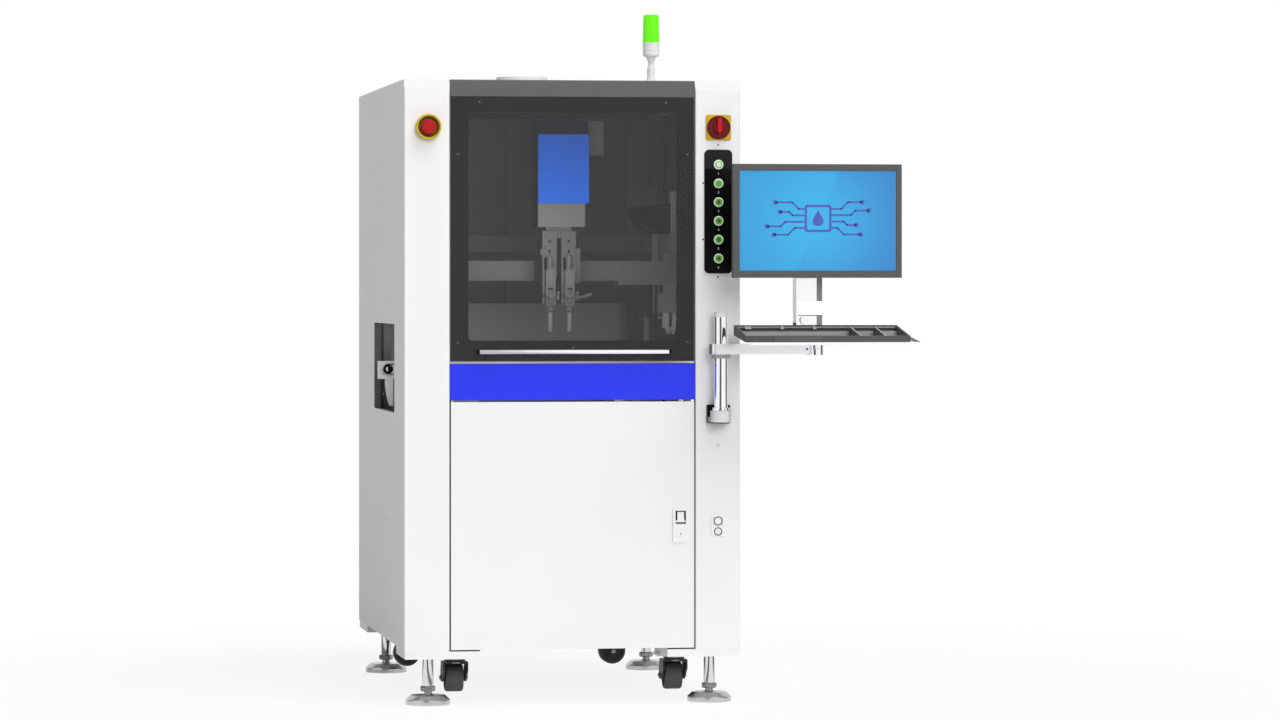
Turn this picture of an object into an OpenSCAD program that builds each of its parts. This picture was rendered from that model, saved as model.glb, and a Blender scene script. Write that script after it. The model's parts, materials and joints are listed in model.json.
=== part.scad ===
// Conformal coating machine: a cabinet with a lifting hood, a board conveyor, a gantry that
// carries two spray valves, an operator's monitor on a swing arm, casters and levelling feet.
// Distances are in millimetres. Inside the modules X runs to the right, Y to the back and Z up
// from the floor, counted from the middle of the cabinet.

/* [Cabinet] */
// Width of the cabinet
cab_w = 900; // [880:1:920]
// Depth of the cabinet
cab_d = 1280; // [1270:1:1320]
// Height of the roof above the floor
cab_h = 1660; // [1650:1:1680]
// Height of the cabinet's lower edge above the floor
cab_clear = 125; // [120:1:130]
// Width of each front column
column_w = 121; // [118:1:124]
// Thickness of the sheet metal
sheet = 2; // [1.5:0.5:2.5]
// Size of the square frame tube
tube = 50; // [45:1:50]
// Height of the deck plate's top
deck_z = 724; // [720:1:728]

/* [Hood and door] */
// Height of the hood's lower edge
hood_z = 912; // [908:1:914]
// Depth of the hood's top, from the front to its hinge
hood_top_d = 200; // [190:1:210]
// Height of the sloping band above the acrylic
band_h = 45; // [40:1:50]
// Thickness of the acrylic window
acrylic = 4; // [3:0.5:4]
// Width of the see-through area
view_w = 558; // [540:1:560]
// Height of the see-through area
view_h = 606; // [590:1:610]
// Height of the lower door
door_h = 656; // [650:1:656]
// Height of the blue fascia
fascia_h = 96; // [90:1:96]

/* [Conveyor] */
// Height of the rails' top
rail_z = 903; // [900:1:906]
// Height of a rail
rail_h = 50; // [48:1:52]
// Clear width between the rails
rail_gap = 453; // [440:1:455]
// Distance of the fixed rail's inner face in front of the middle
rail_front = 345; // [340:1:350]

/* [Gantry] */
// Height of the beam's underside
beam_z = 1127; // [1125:1:1130]
// Height of the beam
beam_h = 55; // [50:1:56]
// Distance between the two spray valves
valve_pitch = 53; // [52:1:56]
// Height of the nozzle tips
nozzle_z = 986; // [982:1:990]

/* [Monitor arm] */
// Distance of the post to the right of the middle
post_x = 390; // [386:1:392]
// Distance of the post's axis in front of the cabinet
post_front = 50; // [48:1:54]
// Diameter of the post
post_d = 36; // [34:1:38]
// Length of the arm between its two pivots
arm_len = 254.5; // [250:0.5:258]
// Width of the monitor
monitor_w = 451; // [440:1:460]
// Height of the monitor
monitor_h = 297; // [290:1:300]
// Width of the keyboard tray
tray_w = 440; // [430:1:446]

/* [Base] */
// Diameter of a levelling foot's pad
pad_d = 118; // [110:1:120]
// Diameter of a caster's wheel
wheel_d = 75; // [70:1:76]
// Gap between a caster's wheel and the floor
wheel_gap = 24; // [20:1:26]

/* [Hidden] */
$fn = 48;

// The whole machine stands with the middle of its outline over the origin.
centre_x = 215;
centre_y = -151;

// Outer faces of the cabinet, and the frame that stands inside its sheet metal.
side_x = cab_w / 2;
front_y = -cab_d / 2;
back_y = cab_d / 2;
lip = 12;
frame_x = side_x - sheet - lip;
frame_front = front_y + 26;
frame_back = back_y - lip;
top_rail_z = cab_h - sheet - lip - tube;
opening_x = side_x - column_w;
pan_z = cab_clear + 22;
skid_d = 232;
skid_w = 196;
chamfer_h = 26;
chamfer_d = 13;

// Hinge line of the hood, and the clearances round it.
hinge_y = front_y + hood_top_d;
hinge_z = cab_h - 12;
hinge_pin_r = 5;
roof_front = hinge_y + 14;
hood_x = opening_x - 0.5;
run = 0.05;

// Middle of the see-through area of the hood.
view_z = hood_z + 56;
door_x = opening_x - 3;
door_z = 149;
door_t = 20;
door_pin_x = -door_x + 4;
door_pin_y = front_y + 4;
fascia_z = door_z + door_h + 5;
latch_x = 289;
latch_z = 475;

// Controls on the right-hand column.
estop_x = -387;
estop_z = 1533;
switch_x = 391;
switch_z = 1535;
button_x = 391;
button_top = 1436;
button_pitch = 50;
button_r = 10;
socket_z = 475;
lock_z = 687;

// Board slots in the side panels.
slot_y = [front_y + 259, front_y + 821];
slot_z = [771, 1010];

// Conveyor: the rear rail slides on two rods.
rail_t = 30;
rear_rail_y = rail_gap - rail_front;
rail_end = side_x - 5;
rod_x = 250;
rod_z = 800;
rod_r = 10;
shaft_r = 6;
pulley_r = 12.6;
belt_r = 13;
belt_t = 1.5;
pulley_x = rail_end - 27;
pulley_z = rail_z - 22;

// Gantry: the beam hangs below two linear axes and carries the head on its front.
axis_x = 340;
axis_z = 1206;
beam_y = [10, 90];
head_x = [-30, 112];
head_y = [-150, -20];
head_z = [1340, 1570];
plate_z = 1275;
valve_x = [1.5, 1.5 + valve_pitch];
chain_z = [1258, 1341];

// Monitor arm.
post_y = front_y - post_front;
post_r = post_d / 2;
arm_z = [931, 959];
arm_y = [post_y - 25, post_y + 25];
pivot_x = post_x + arm_len;
column_x = [pivot_x - 61, pivot_x + 13];
column_y = [post_y - 52, post_y - 2];
tilt_y = post_y - 100;
tilt_z = 1282;
screen_y = post_y - 180;
monitor_x = pivot_x - 27;
tray_x = [pivot_x - 232.5, pivot_x - 232.5 + tray_w];
tray_y = [post_y - 250, post_y - 70];

// Tray's lower and upper faces, as heights at its front and back edges.
tray_low = [965.5, 982];
tray_top = [982, 1009];

// Base.
foot_x = 379;
foot_y = 562;
caster_x = 297;
caster_y = 475;
axle_z = wheel_gap + wheel_d / 2;
trail = 32;
king_r = 8;
axle_r = 5;

// Moves a piece from the cabinet's axes to the model's own.
module placed() {
    translate([-centre_x, -centre_y, 0]) children();
}

// Box between two corners, given as a range along each axis.
module bar(x, y, z) {
    translate([x[0], y[0], z[0]]) cube([x[1] - x[0], y[1] - y[0], z[1] - z[0]]);
}

// Both mirror images of a shape, left and right.
module both_sides() {
    children();
    mirror([1, 0, 0]) children();
}

// Cylinders along each axis, between two ends.
module rod_along_x(x, y, z, r) {
    translate([x[0], y, z]) rotate([0, 90, 0]) cylinder(h = x[1] - x[0], r = r);
}
module rod_along_y(x, y, z, r) {
    translate([x, y[0], z]) rotate([-90, 0, 0]) cylinder(h = y[1] - y[0], r = r);
}
module rod_along_z(x, y, z, r) {
    translate([x, y, z[0]]) cylinder(h = z[1] - z[0], r = r);
}

// Outline in the Y-Z plane, drawn out along X.
module prism_x(x) {
    translate([x[0], 0, 0]) rotate([90, 0, 90]) linear_extrude(x[1] - x[0]) children();
}

// Outline in the X-Z plane, drawn out along Y.
module prism_y(y) {
    translate([0, y[1], 0]) rotate([90, 0, 0]) linear_extrude(y[1] - y[0]) children();
}

// Outline in the X-Y plane, drawn out along Z.
module prism_z(z) {
    translate([0, 0, z[0]]) linear_extrude(z[1] - z[0]) children();
}

// Flat rectangle with round corners.
module round_rect(x, y, r) {
    translate([x[0] + r, y[0]]) square([x[1] - x[0] - 2 * r, y[1] - y[0]]);
    translate([x[0], y[0] + r]) square([x[1] - x[0], y[1] - y[0] - 2 * r]);
    for (a = [x[0] + r, x[1] - r], b = [y[0] + r, y[1] - r])
        translate([a, b]) circle(r);
}

// Flat loop with straight sides and round ends, as a belt runs.
module loop_2d(x, y, r) {
    translate([x[0], y - r]) square([x[1] - x[0], 2 * r]);
    for (a = x)
        translate([a, y]) circle(r);
}

// Square tube between two corners, open at both ends along one axis: 0 is X, 1 is Y, 2 is Z.
module square_tube(x, y, z, along) {
    wall = 3;
    outer = [x, y, z];
    inner = [for (i = [0:2]) i == along ? [outer[i][0] - 1, outer[i][1] + 1]
        : [outer[i][0] + wall, outer[i][1] - wall]];
    difference() {
        bar(x, y, z);
        bar(inner[0], inner[1], inner[2]);
    }
}

module frame_posts() {
    height = [pan_z + 3, top_rail_z + tube];
    color("gainsboro") placed() both_sides()
        for (y = [frame_front, frame_back - tube])
            square_tube([frame_x - tube, frame_x], [y, y + tube], height, 2);
}

module frame_rails() {
    inner = frame_x - tube;
    side_rail_z = [pan_z + 3, deck_z - 12 - tube, axis_z - 6, top_rail_z];
    cross_rail_z = [pan_z + 3, deck_z - 12 - tube];
    color("gainsboro") placed() {
        both_sides() for (z = side_rail_z)
            square_tube([inner, frame_x], [frame_front + tube, frame_back - tube], [z, z + tube], 1);
        for (z = cross_rail_z, y = [frame_front, frame_back - tube])
            square_tube([-inner, inner], [y, y + tube], [z, z + tube], 0);
        square_tube([-inner, inner], [frame_back - tube, frame_back], [top_rail_z, top_rail_z + tube], 0);
    }
}

// Bottom plate with a hollow skid under each corner and the casters' swivel plates.
module base_pan() {
    color("white") placed() difference() {
        union() {
            bar([-frame_x, frame_x], [frame_front, frame_back], [pan_z, pan_z + 3]);
            for (y = [front_y + sheet, back_y - sheet - skid_d], side = [0, 1]) mirror([side, 0, 0])
                difference() {
                    bar([side_x - skid_w, side_x - sheet], [y, y + skid_d], [cab_clear, pan_z]);
                    bar([side_x - skid_w + 3, side_x - 5], [y + 3, y + skid_d - 3],
                        [cab_clear + 4, pan_z - 3]);
                }
            for (x = [-caster_x, caster_x], y = [-caster_y, caster_y]) {
                bar([x - 50, x + 50], [y - 42, y + 42], [cab_clear - 8, cab_clear]);
                rod_along_z(x, y, [cab_clear - 8, pan_z], king_r + 10);
            }
            for (x = [-foot_x, foot_x], y = [-foot_y, foot_y])
                rod_along_z(x, y, [cab_clear, pan_z], 26);
        }
        for (x = [-caster_x, caster_x], y = [-caster_y, caster_y])
            rod_along_z(x, y, [cab_clear - 9, pan_z + 4], king_r + run);
    }
}

module deck_plate() {
    color("silver") placed() difference() {
        bar([-frame_x + tube + 1, frame_x - tube - 1], [frame_front, frame_back], [deck_z - 12, deck_z]);
        for (x = [-300, 300], y = [-480, 480])
            rod_along_z(x, y, [deck_z - 13, deck_z + 1], 30);
    }
}

// Groove that outlines a removable cover on a side panel.
module cover_groove(y, z) {
    difference() {
        bar([side_x - 0.8, side_x + 1], [y[0], y[1]], [z[0], z[1]]);
        bar([side_x - 2, side_x + 2], [y[0] + 2, y[1] - 2], [z[0] + 2, z[1] - 2]);
    }
}

// Folded panel with turned-in edges, a lined board slot and two outlined covers.
module side_panel() {
    edge_y = [front_y + 25, back_y];
    edge_z = [pan_z, cab_h];
    difference() {
        union() {
            difference() {
                bar([side_x - sheet - lip, side_x], edge_y, edge_z);
                bar([side_x - sheet - lip - 1, side_x - sheet], [edge_y[0] + sheet, edge_y[1] - sheet],
                    [edge_z[0] + sheet, edge_z[1] - sheet]);
            }
            prism_x([side_x - 18, side_x])
                round_rect([slot_y[0] - sheet, slot_y[1] + sheet], [slot_z[0] - sheet, slot_z[1] + sheet], 12);
        }
        prism_x([side_x - 20, side_x + 1]) round_rect(slot_y, slot_z, 10);
        cover_groove([front_y + 259, front_y + 835], [187, 478]);
        cover_groove([front_y + 924, front_y + 1148], [1134, 1273]);
    }
}

module left_side_panel() {
    color([0.86, 0.86, 0.87]) placed() mirror([1, 0, 0]) side_panel();
}

module right_side_panel() {
    color([0.86, 0.86, 0.87]) placed() side_panel();
}

// Two outer panels with louvres, and the chamber's inner wall with its upright channel.
module rear_panels() {
    split = 800;
    louvre_w = 90;
    color([0.86, 0.86, 0.87]) placed() {
        difference() {
            bar([-frame_x + 1, frame_x - 1], [back_y - lip, back_y], [pan_z + 4, split - 3]);
            bar([-frame_x + 3, frame_x - 3], [back_y - lip - 1, back_y - sheet], [pan_z + 6, split - 5]);
            for (row = [0:9], x = [-250:125:250])
                bar([x - louvre_w / 2, x + louvre_w / 2], [back_y - lip, back_y + 1],
                    [250 + row * 22, 258 + row * 22]);
        }
        difference() {
            bar([-frame_x + 1, frame_x - 1], [back_y - lip, back_y], [split + 3, cab_h - 15]);
            bar([-frame_x + 3, frame_x - 3], [back_y - lip - 1, back_y - sheet], [split + 5, cab_h - 17]);
        }
        bar([-frame_x + tube, frame_x - tube], [frame_back - tube - 6, frame_back - tube - 4],
            [deck_z, top_rail_z]);
        bar([-32, 9], [frame_back - tube - 26, frame_back - tube - 6], [deck_z, top_rail_z]);
    }
}

// Top sheet with an ear on each side of the hood and the rod that the hood turns on.
module roof_panel() {
    ear_front = front_y + 25;
    inner = opening_x + 1;
    pin_end = opening_x - 8;
    color([0.92, 0.92, 0.93]) placed() difference() {
        union() {
            bar([-frame_x, frame_x], [roof_front, back_y - 3], [cab_h - sheet, cab_h]);
            both_sides() {
                bar([inner, frame_x], [ear_front, roof_front], [cab_h - sheet, cab_h]);
                bar([inner, inner + sheet], [ear_front, roof_front], [cab_h - 40, cab_h]);
                bar([pin_end - 24, pin_end], [hinge_y, roof_front + 20], [hinge_z - 6, cab_h - sheet + 1]);
                rod_along_x([pin_end - 24, pin_end], hinge_y, hinge_z, 8);
            }
            bar([-inner - sheet, inner + sheet], [roof_front, roof_front + sheet], [cab_h - 14, cab_h]);
            rod_along_x([-pin_end, pin_end], hinge_y, hinge_z, hinge_pin_r);
        }
        rod_along_z(-56, 0, [cab_h - 5, cab_h + 5], 69);
    }
}

module exhaust_collar() {
    color([0.92, 0.92, 0.93]) placed() translate([-56, 0, cab_h]) rotate_extrude() {
        translate([69, 0]) square([2, 32]);
        translate([69, 0]) square([14, sheet]);
    }
}

// Outline of a column seen from above, with round outer bends.
module column_plan(inset) {
    round_rect([opening_x + inset, side_x - inset], [front_y + inset, front_y + 60], 4 - inset);
}

// Outline of a column seen from the side: its top slopes back.
module column_side(inset) {
    polygon([[front_y + inset, cab_clear + 2 * inset], [front_y + inset, cab_h - chamfer_h],
        [front_y + chamfer_d + inset, cab_h - inset], [front_y + 40, cab_h - inset],
        [front_y + 40, cab_clear + 2 * inset]]);
}

// Folded column with a strip at its foot that covers the skid.
module column() {
    difference() {
        union() {
            intersection() {
                prism_z([0, cab_h]) column_plan(0);
                prism_x([0, side_x]) column_side(0);
                bar([0, side_x], [front_y, front_y + 25], [0, cab_h]);
            }
            bar([opening_x, opening_x + sheet], [front_y + 5, front_y + 25], [pan_z + 4, cab_h - 30]);
            bar([side_x - skid_w, opening_x + 10], [front_y, front_y + sheet], [cab_clear, door_z - 4]);
        }
        intersection() {
            prism_z([pan_z, cab_h]) column_plan(sheet);
            prism_x([0, side_x]) column_side(sheet);
        }
        bar([side_x - skid_w, side_x - sheet], [front_y + sheet, front_y + 61], [cab_clear - 1, pan_z + 1]);
        bar([side_x - 31, side_x + 1], [front_y - 1, front_y + 61], [cab_clear - 1, cab_clear + 17]);
    }
}

module front_columns() {
    color("white") placed() {
        difference() {
            mirror([1, 0, 0]) column();
            rod_along_y(estop_x, [front_y - 5, front_y + 10], estop_z, 12);
        }
        difference() {
            column();
            rod_along_y(switch_x, [front_y - 5, front_y + 10], switch_z, 12);
            for (i = [0:5])
                rod_along_y(button_x, [front_y - 5, front_y + 10], button_top - i * button_pitch, 12);
            rod_along_y(post_x, [front_y - 5, front_y + 10], socket_z + 11, 12);
            rod_along_y(post_x, [front_y - 5, front_y + 10], socket_z - 17, 10.5);
        }
    }
}

module blue_fascia() {
    color("royalblue") placed() difference() {
        bar([-hood_x, hood_x], [front_y, front_y + 26], [fascia_z, fascia_z + fascia_h]);
        bar([-hood_x + 2, hood_x - 2], [front_y + 2, front_y + 27], [fascia_z + 2, fascia_z + fascia_h - 2]);
        rod_along_z(door_pin_x, door_pin_y, [fascia_z - 1, fascia_z + 3], 2.5 + run);
    }
}

// Sheet-metal hood: front frame, side flanges and a sloping band round its top edge.
module hood_profile(inset) {
    slope_d = 22;
    polygon([[hinge_y + 6, cab_h - inset], [front_y + slope_d, cab_h - inset],
        [front_y + slope_d - 8, cab_h - 3 - inset], [front_y + 4 + inset, cab_h - 26],
        [front_y + inset, cab_h - band_h], [front_y + acrylic + inset, cab_h - band_h - 2],
        [front_y + acrylic + inset, hood_z + inset], [front_y + 30 + inset, hood_z + inset],
        [front_y + 30 + inset, cab_h - 70], [front_y + 60, cab_h - 40], [hinge_y + 6, cab_h - 40]]);
}

module hood_shell() {
    knuckle = [opening_x - 90, opening_x - 34];
    color("dimgray") placed() difference() {
        union() {
            difference() {
                prism_x([-hood_x, hood_x]) hood_profile(0);
                prism_x([-hood_x + 2, hood_x - 2]) hood_profile(2);
                bar([-hood_x + 2, hood_x - 2], [front_y + 10, front_y + 80], [hood_z + 2, cab_h - 60]);
                bar([-hood_x + 2, hood_x - 2], [front_y + 50, hinge_y + 7], [cab_h - 50, cab_h - 2]);
            }
            both_sides() {
                rod_along_x(knuckle, hinge_y, hinge_z, 8);
                bar(knuckle, [hinge_y - 14, hinge_y], [hinge_z, cab_h - 1]);
            }
        }
        prism_y([front_y - 1, front_y + 10])
            round_rect([-view_w / 2, view_w / 2], [view_z, view_z + view_h], 10);
        rod_along_x([-opening_x, opening_x], hinge_y, hinge_z, hinge_pin_r + run);
        both_sides()
            bar([opening_x - 34, opening_x - 6], [hinge_y - 18, hinge_y + 7], [cab_h - 50, cab_h + 1]);
    }
}

module hood_window() {
    edge = hood_x - 3;
    top = cab_h - band_h - 2;
    color([0.2, 0.2, 0.22, 0.5]) placed()
        prism_y([front_y, front_y + acrylic]) round_rect([-edge, edge], [hood_z + 2, top], 2);
}

module hood_handle() {
    grip_z = [930, 944];
    color("silver") placed() {
        prism_x([-257, 257]) round_rect([front_y - 36, front_y - 24], grip_z, 3);
        for (x = [-230, 230])
            rod_along_y(x, [front_y - 26, front_y], 937, 6);
    }
}

// Door pan with turned edges, two hinge pins and a hole for the latch.
module lower_door() {
    color("white") placed() {
        difference() {
            bar([-door_x, door_x], [front_y, front_y + door_t], [door_z, door_z + door_h]);
            bar([-door_x + 8, door_x - sheet], [front_y + sheet, front_y + door_t + 1],
                [door_z + sheet, door_z + door_h - sheet]);
            bar([latch_x - 18, latch_x + 18], [front_y - 1, front_y + 3], [latch_z - 38, latch_z + 43]);
        }
        rod_along_z(door_pin_x, door_pin_y, [door_z + door_h - 4, fascia_z + 3], 2.5);
        bar([-200, 200], [front_y + sheet, front_y + 14], [300, 330]);
        bar([-200, 200], [front_y + sheet, front_y + 14], [600, 630]);
    }
}

// Latch body with a well for the paddle.
module latch_housing() {
    color("whitesmoke") placed() difference() {
        union() {
            prism_y([front_y - 5, front_y]) round_rect([latch_x - 21, latch_x + 21], [latch_z - 45, latch_z + 45], 6);
            bar([latch_x - 17.5, latch_x + 17.5], [front_y, front_y + 16], [latch_z - 37, latch_z + 42]);
        }
        bar([latch_x - 14, latch_x + 14], [front_y - 6, front_y + 12], [latch_z + 4, latch_z + 39]);
        rod_along_x([latch_x - 16.4, latch_x + 16.4], front_y + 1, latch_z + 10.5, 3 + run);
        rod_along_y(latch_x, [front_y - 6, front_y + 8], latch_z - 23, 6);
    }
}

// Paddle that is pulled forward at its top and turns on a rod at its foot.
module latch_paddle() {
    color("white") placed() difference() {
        union() {
            bar([latch_x - 9, latch_x + 9], [front_y - 4.5, front_y - 1], [latch_z + 9, latch_z + 36]);
            rod_along_x([latch_x - 16.2, latch_x + 16.2], front_y + 1, latch_z + 10.5, 3);
            bar([latch_x - 9, latch_x + 9], [front_y - 3, front_y + 1], [latch_z + 9, latch_z + 13]);
        }
        rod_along_x([latch_x - 20, latch_x + 20], front_y - 24, latch_z + 26, 21);
    }
}

// Yellow shroud round the emergency stop.
module estop_guard() {
    color("gold") placed() translate([estop_x, front_y, estop_z]) rotate([90, 0, 0]) rotate_extrude() {
        translate([29.5, 0]) square([4, 23]);
        translate([11 + run, 0]) square([20, 3]);
        translate([31.5, 23]) circle(2);
    }
}

module estop_button() {
    color("red") placed() translate([estop_x, front_y, estop_z]) rotate([90, 0, 0]) {
        translate([0, 0, -12]) cylinder(h = 25, r = 11);
        rotate_extrude() polygon([[0, 12], [18, 12], [20, 14], [20, 18], [18.5, 20.5], [14, 22.2],
            [7, 23.2], [0, 23.5]]);
    }
}

module switch_plate() {
    color("gold") placed() difference() {
        prism_y([front_y - 4, front_y])
            round_rect([switch_x - 34, switch_x + 34], [switch_z - 34, switch_z + 34], 6);
        rod_along_y(switch_x, [front_y - 5, front_y + 1], switch_z, 6 + run);
    }
}

// Rotary handle: a ribbed disc with a raised grip.
module switch_knob() {
    color("firebrick") placed() translate([switch_x, front_y - 4.4, switch_z]) rotate([90, 0, 0]) {
        difference() {
            cylinder(h = 8, r = 31.5);
            for (a = [15:30:345])
                rotate([0, 0, a]) translate([33.5, 0, -1]) cylinder(h = 10, r = 4);
        }
        linear_extrude(24) round_rect([-7, 7], [-28, 28], 5);
        translate([0, 0, -14]) cylinder(h = 15, r = 6);
    }
}

// Glossy control plate with a bezel round each button.
module button_panel() {
    panel_x = [353, 428];
    panel_z = [1146, 1476];
    color([0.06, 0.06, 0.06]) placed() difference() {
        union() {
            prism_y([front_y - 4, front_y]) round_rect(panel_x, panel_z, 13);
            for (i = [0:5])
                translate([button_x, front_y - 4, button_top - i * button_pitch]) rotate([90, 0, 0])
                    rotate_extrude() polygon([[button_r, 0], [13, 0], [13, 2], [12, 4], [button_r, 4]]);
        }
        for (i = [0:5])
            rod_along_y(button_x, [front_y - 12, front_y + 1], button_top - i * button_pitch, button_r + run);
    }
}

module push_button(i) {
    color("limegreen") placed() translate([button_x, front_y, button_top - i * button_pitch])
        rotate([90, 0, 0]) {
            translate([0, 0, -10]) cylinder(h = 17.5, r = button_r);
            rotate_extrude() polygon([[0, 7], [button_r, 7], [button_r - 0.6, 8.6], [8, 9], [7.4, 8.4], [0, 8.4]]);
        }
}

// Socket plate with two round sockets, and the cabinet lock above it.
module service_sockets() {
    color("silver") placed() {
        difference() {
            union() {
                prism_y([front_y - 3, front_y])
                    round_rect([post_x - 19, post_x + 19], [socket_z - 30, socket_z + 30], 4);
                rod_along_y(post_x, [front_y - 4, front_y + 14], socket_z + 11, 11.9);
                rod_along_y(post_x, [front_y - 4, front_y + 14], socket_z - 17, 10.4);
            }
            rod_along_y(post_x, [front_y - 5, front_y + 10], socket_z + 11, 10);
            rod_along_y(post_x, [front_y - 5, front_y + 10], socket_z - 17, 8.5);
        }
        difference() {
            rod_along_y(post_x + 1, [front_y - 3, front_y], lock_z, 6.5);
            bar([post_x, post_x + 2], [front_y - 4, front_y - 1], [lock_z - 3, lock_z + 3]);
        }
    }
}

// Four feet: a turned pad, a ball neck, a lock nut and a plain stem.
module levelling_feet() {
    color("silver") placed() for (x = [-foot_x, foot_x], y = [-foot_y, foot_y]) translate([x, y, 0]) {
        rotate_extrude() polygon([[0, 0], [pad_d / 2 - 1, 0], [pad_d / 2, 1], [pad_d / 2, 13],
            [pad_d / 2 - 6, 17], [pad_d / 2 - 13, 24], [pad_d / 2 - 16, 25.5], [18, 26], [13, 29], [13, 32],
            [9, 34], [9, 36], [14.5, 36], [14.5, cab_clear], [0, cab_clear]]);
        translate([0, 0, 36]) cylinder(h = 13, r = 20, $fn = 6);
    }
}

module caster_fork(x, y, turn) {
    crown_z = axle_z + wheel_d / 2 + 2.5;
    color([0.1, 0.1, 0.1]) placed() translate([x, y, 0]) rotate([0, 0, turn]) {
        rod_along_z(0, 0, [crown_z, pan_z - 8], king_r);
        rod_along_z(0, 0, [crown_z, cab_clear - 8.4], 28);
        prism_z([crown_z, crown_z + 5]) round_rect([-33.5, 33.5], [-28, 44], 8);
        for (side = [0, 1]) mirror([side, 0, 0]) {
            difference() {
                prism_x([29, 33.5]) polygon([[-24, crown_z + 4], [40, crown_z + 4], [50, 78], [46, 60],
                    [trail + 12, axle_z - 10], [trail - 12, axle_z - 10], [-8, 70], [-26, 84]]);
                rod_along_x([32, 34], trail, axle_z, 10);
            }
            rod_along_x([32, 35], trail, axle_z, 7);
        }
        rod_along_x([-33, 33], trail, axle_z, axle_r);
    }
}

// Wheel with a rounded tread and a hollowed web.
module caster_wheel(x, y, turn) {
    r = wheel_d / 2;
    color([0.13, 0.13, 0.13]) placed() translate([x, y, 0]) rotate([0, 0, turn])
        translate([0, trail, axle_z]) rotate([0, 90, 0]) rotate_extrude()
            polygon([[axle_r + run, -27], [14, -27], [14, -18], [r - 12, -18], [r - 10, -25], [r - 5, -25],
                [r - 1, -20], [r, -12], [r, 12], [r - 1, 20], [r - 5, 25], [r - 10, 25], [r - 12, 18],
                [14, 18], [14, 27], [axle_r + run, 27]]);
}

// Post with its wall bracket, foot ring and cap.
module monitor_post() {
    color("silver") placed() {
        rod_along_z(post_x, post_y, [760, 1030], post_r);
        rod_along_z(post_x, post_y, [1030, 1043], post_r + 0.6);
        rod_along_z(post_x, post_y, [788, 796], post_r + 7);
        rod_along_z(post_x, post_y, [748, 788], post_r + 8);
        bar([post_x - 26, post_x + 26], [post_y, front_y - 14], [748, 788]);
        bar([post_x - 31, post_x + 31], [front_y - 14, front_y], [748, 796]);
    }
}

module stop_collar() {
    color("silver") placed() difference() {
        rod_along_z(post_x, post_y, [920, 930.6], 25);
        rod_along_z(post_x, post_y, [919, 932], post_r + run);
        bar([post_x - 1, post_x + 1], [post_y - 30, post_y - 10], [919, 932]);
    }
}

// Flat arm: clamped round the post at one end, with a pivot boss at the other.
module swing_arm() {
    color("whitesmoke") placed() difference() {
        union() {
            prism_z(arm_z) round_rect([post_x - 28.5, pivot_x - 10], arm_y, 4);
            rod_along_z(pivot_x, post_y, [arm_z[0] - 2, arm_z[1]], 22.3);
        }
        rod_along_z(post_x, post_y, [arm_z[0] - 1, arm_z[1] + 1], post_r + run);
        rod_along_z(pivot_x, post_y, [arm_z[0] + 6, arm_z[1] + 1], 8 + run);
        bar([post_x - 30, post_x], [post_y - 1, post_y + 1], [arm_z[0] - 1, arm_z[1] + 1]);
        rod_along_y(pivot_x - 30, [arm_y[0] - 1, arm_y[0] + 8], 945, 3);
    }
}

// Plan of the upright sleeve: a flat front, a square left edge and a round right edge.
module sleeve_plan() {
    r = 18;
    difference() {
        union() {
            translate([column_x[0], column_y[0]]) square([column_x[1] - column_x[0] - r, 3]);
            translate([column_x[1] - r, column_y[0] + r]) circle(r);
            translate([column_x[1] - 3, column_y[0] + r]) square([3, column_y[1] - column_y[0] - r]);
        }
        translate([column_x[1] - r, column_y[0] + r]) circle(r - 3);
        translate([column_x[0] + 3, column_y[0] + 3])
            square([column_x[1] - column_x[0] - r - 3, column_y[1] - column_y[0]]);
        translate([column_x[0] + 6, column_y[0] + r]) square([column_x[1] - column_x[0] - 9, 40]);
    }
}

// Upright sleeve on the arm's pivot, with the tray's carrier plate and two tilt ears.
module monitor_bracket() {
    carrier = 3;
    slope = (tray_low[1] - tray_low[0]) / (tray_y[1] - tray_y[0]);
    back = column_y[0] + 6;
    front = tray_y[0] + 3;
    low_front = tray_low[0] + slope * 3;
    low_back = tray_low[0] + slope * (back - tray_y[0]);
    color("white") placed() {
        rod_along_z(pivot_x, post_y, [arm_z[0] + 8, arm_z[1] + 10], 8);
        rod_along_z(pivot_x, post_y, [arm_z[1] + 0.4, arm_z[1] + 10], 22.3);
        bar([column_x[0], pivot_x + 20], [column_y[0], post_y], [arm_z[1] + 7, arm_z[1] + 13]);
        prism_z([arm_z[1] + 10, 1035]) sleeve_plan();
        prism_z([1073, 1310]) sleeve_plan();
        bar([column_x[0], column_x[0] + 3], column_y, [arm_z[1] + 10, 1310]);
        bar([column_x[0], column_x[1] - 2], [column_y[0] + 2, column_y[1]], [1300, 1304]);
        prism_x([tray_x[0] + 12, tray_x[1] + 10]) polygon([[front, low_front], [back, low_back],
            [back, low_back - carrier], [front + 3, low_front - carrier], [front + 3, low_front - 8],
            [front, low_front - 8]]);
        prism_x([tray_x[1] + 8, tray_x[1] + 28]) polygon([[front, low_front], [front + 140, low_front + slope * 140],
            [front + 140, low_front + slope * 140 - carrier], [front, low_front - carrier]]);
        for (x = [monitor_x - 28, monitor_x + 20]) difference() {
            union() {
                bar([x, x + 8], [tilt_y, column_y[0] + 3], [tilt_z - 13, tilt_z + 13]);
                rod_along_x([x, x + 8], tilt_y, tilt_z, 13);
            }
            rod_along_x([x - 1, x + 9], tilt_y, tilt_z, 6 + run);
        }
        rod_along_y(pivot_x - 40, [column_y[0] - 9, column_y[0] + 1], 1022, 11);
    }
}

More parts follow.
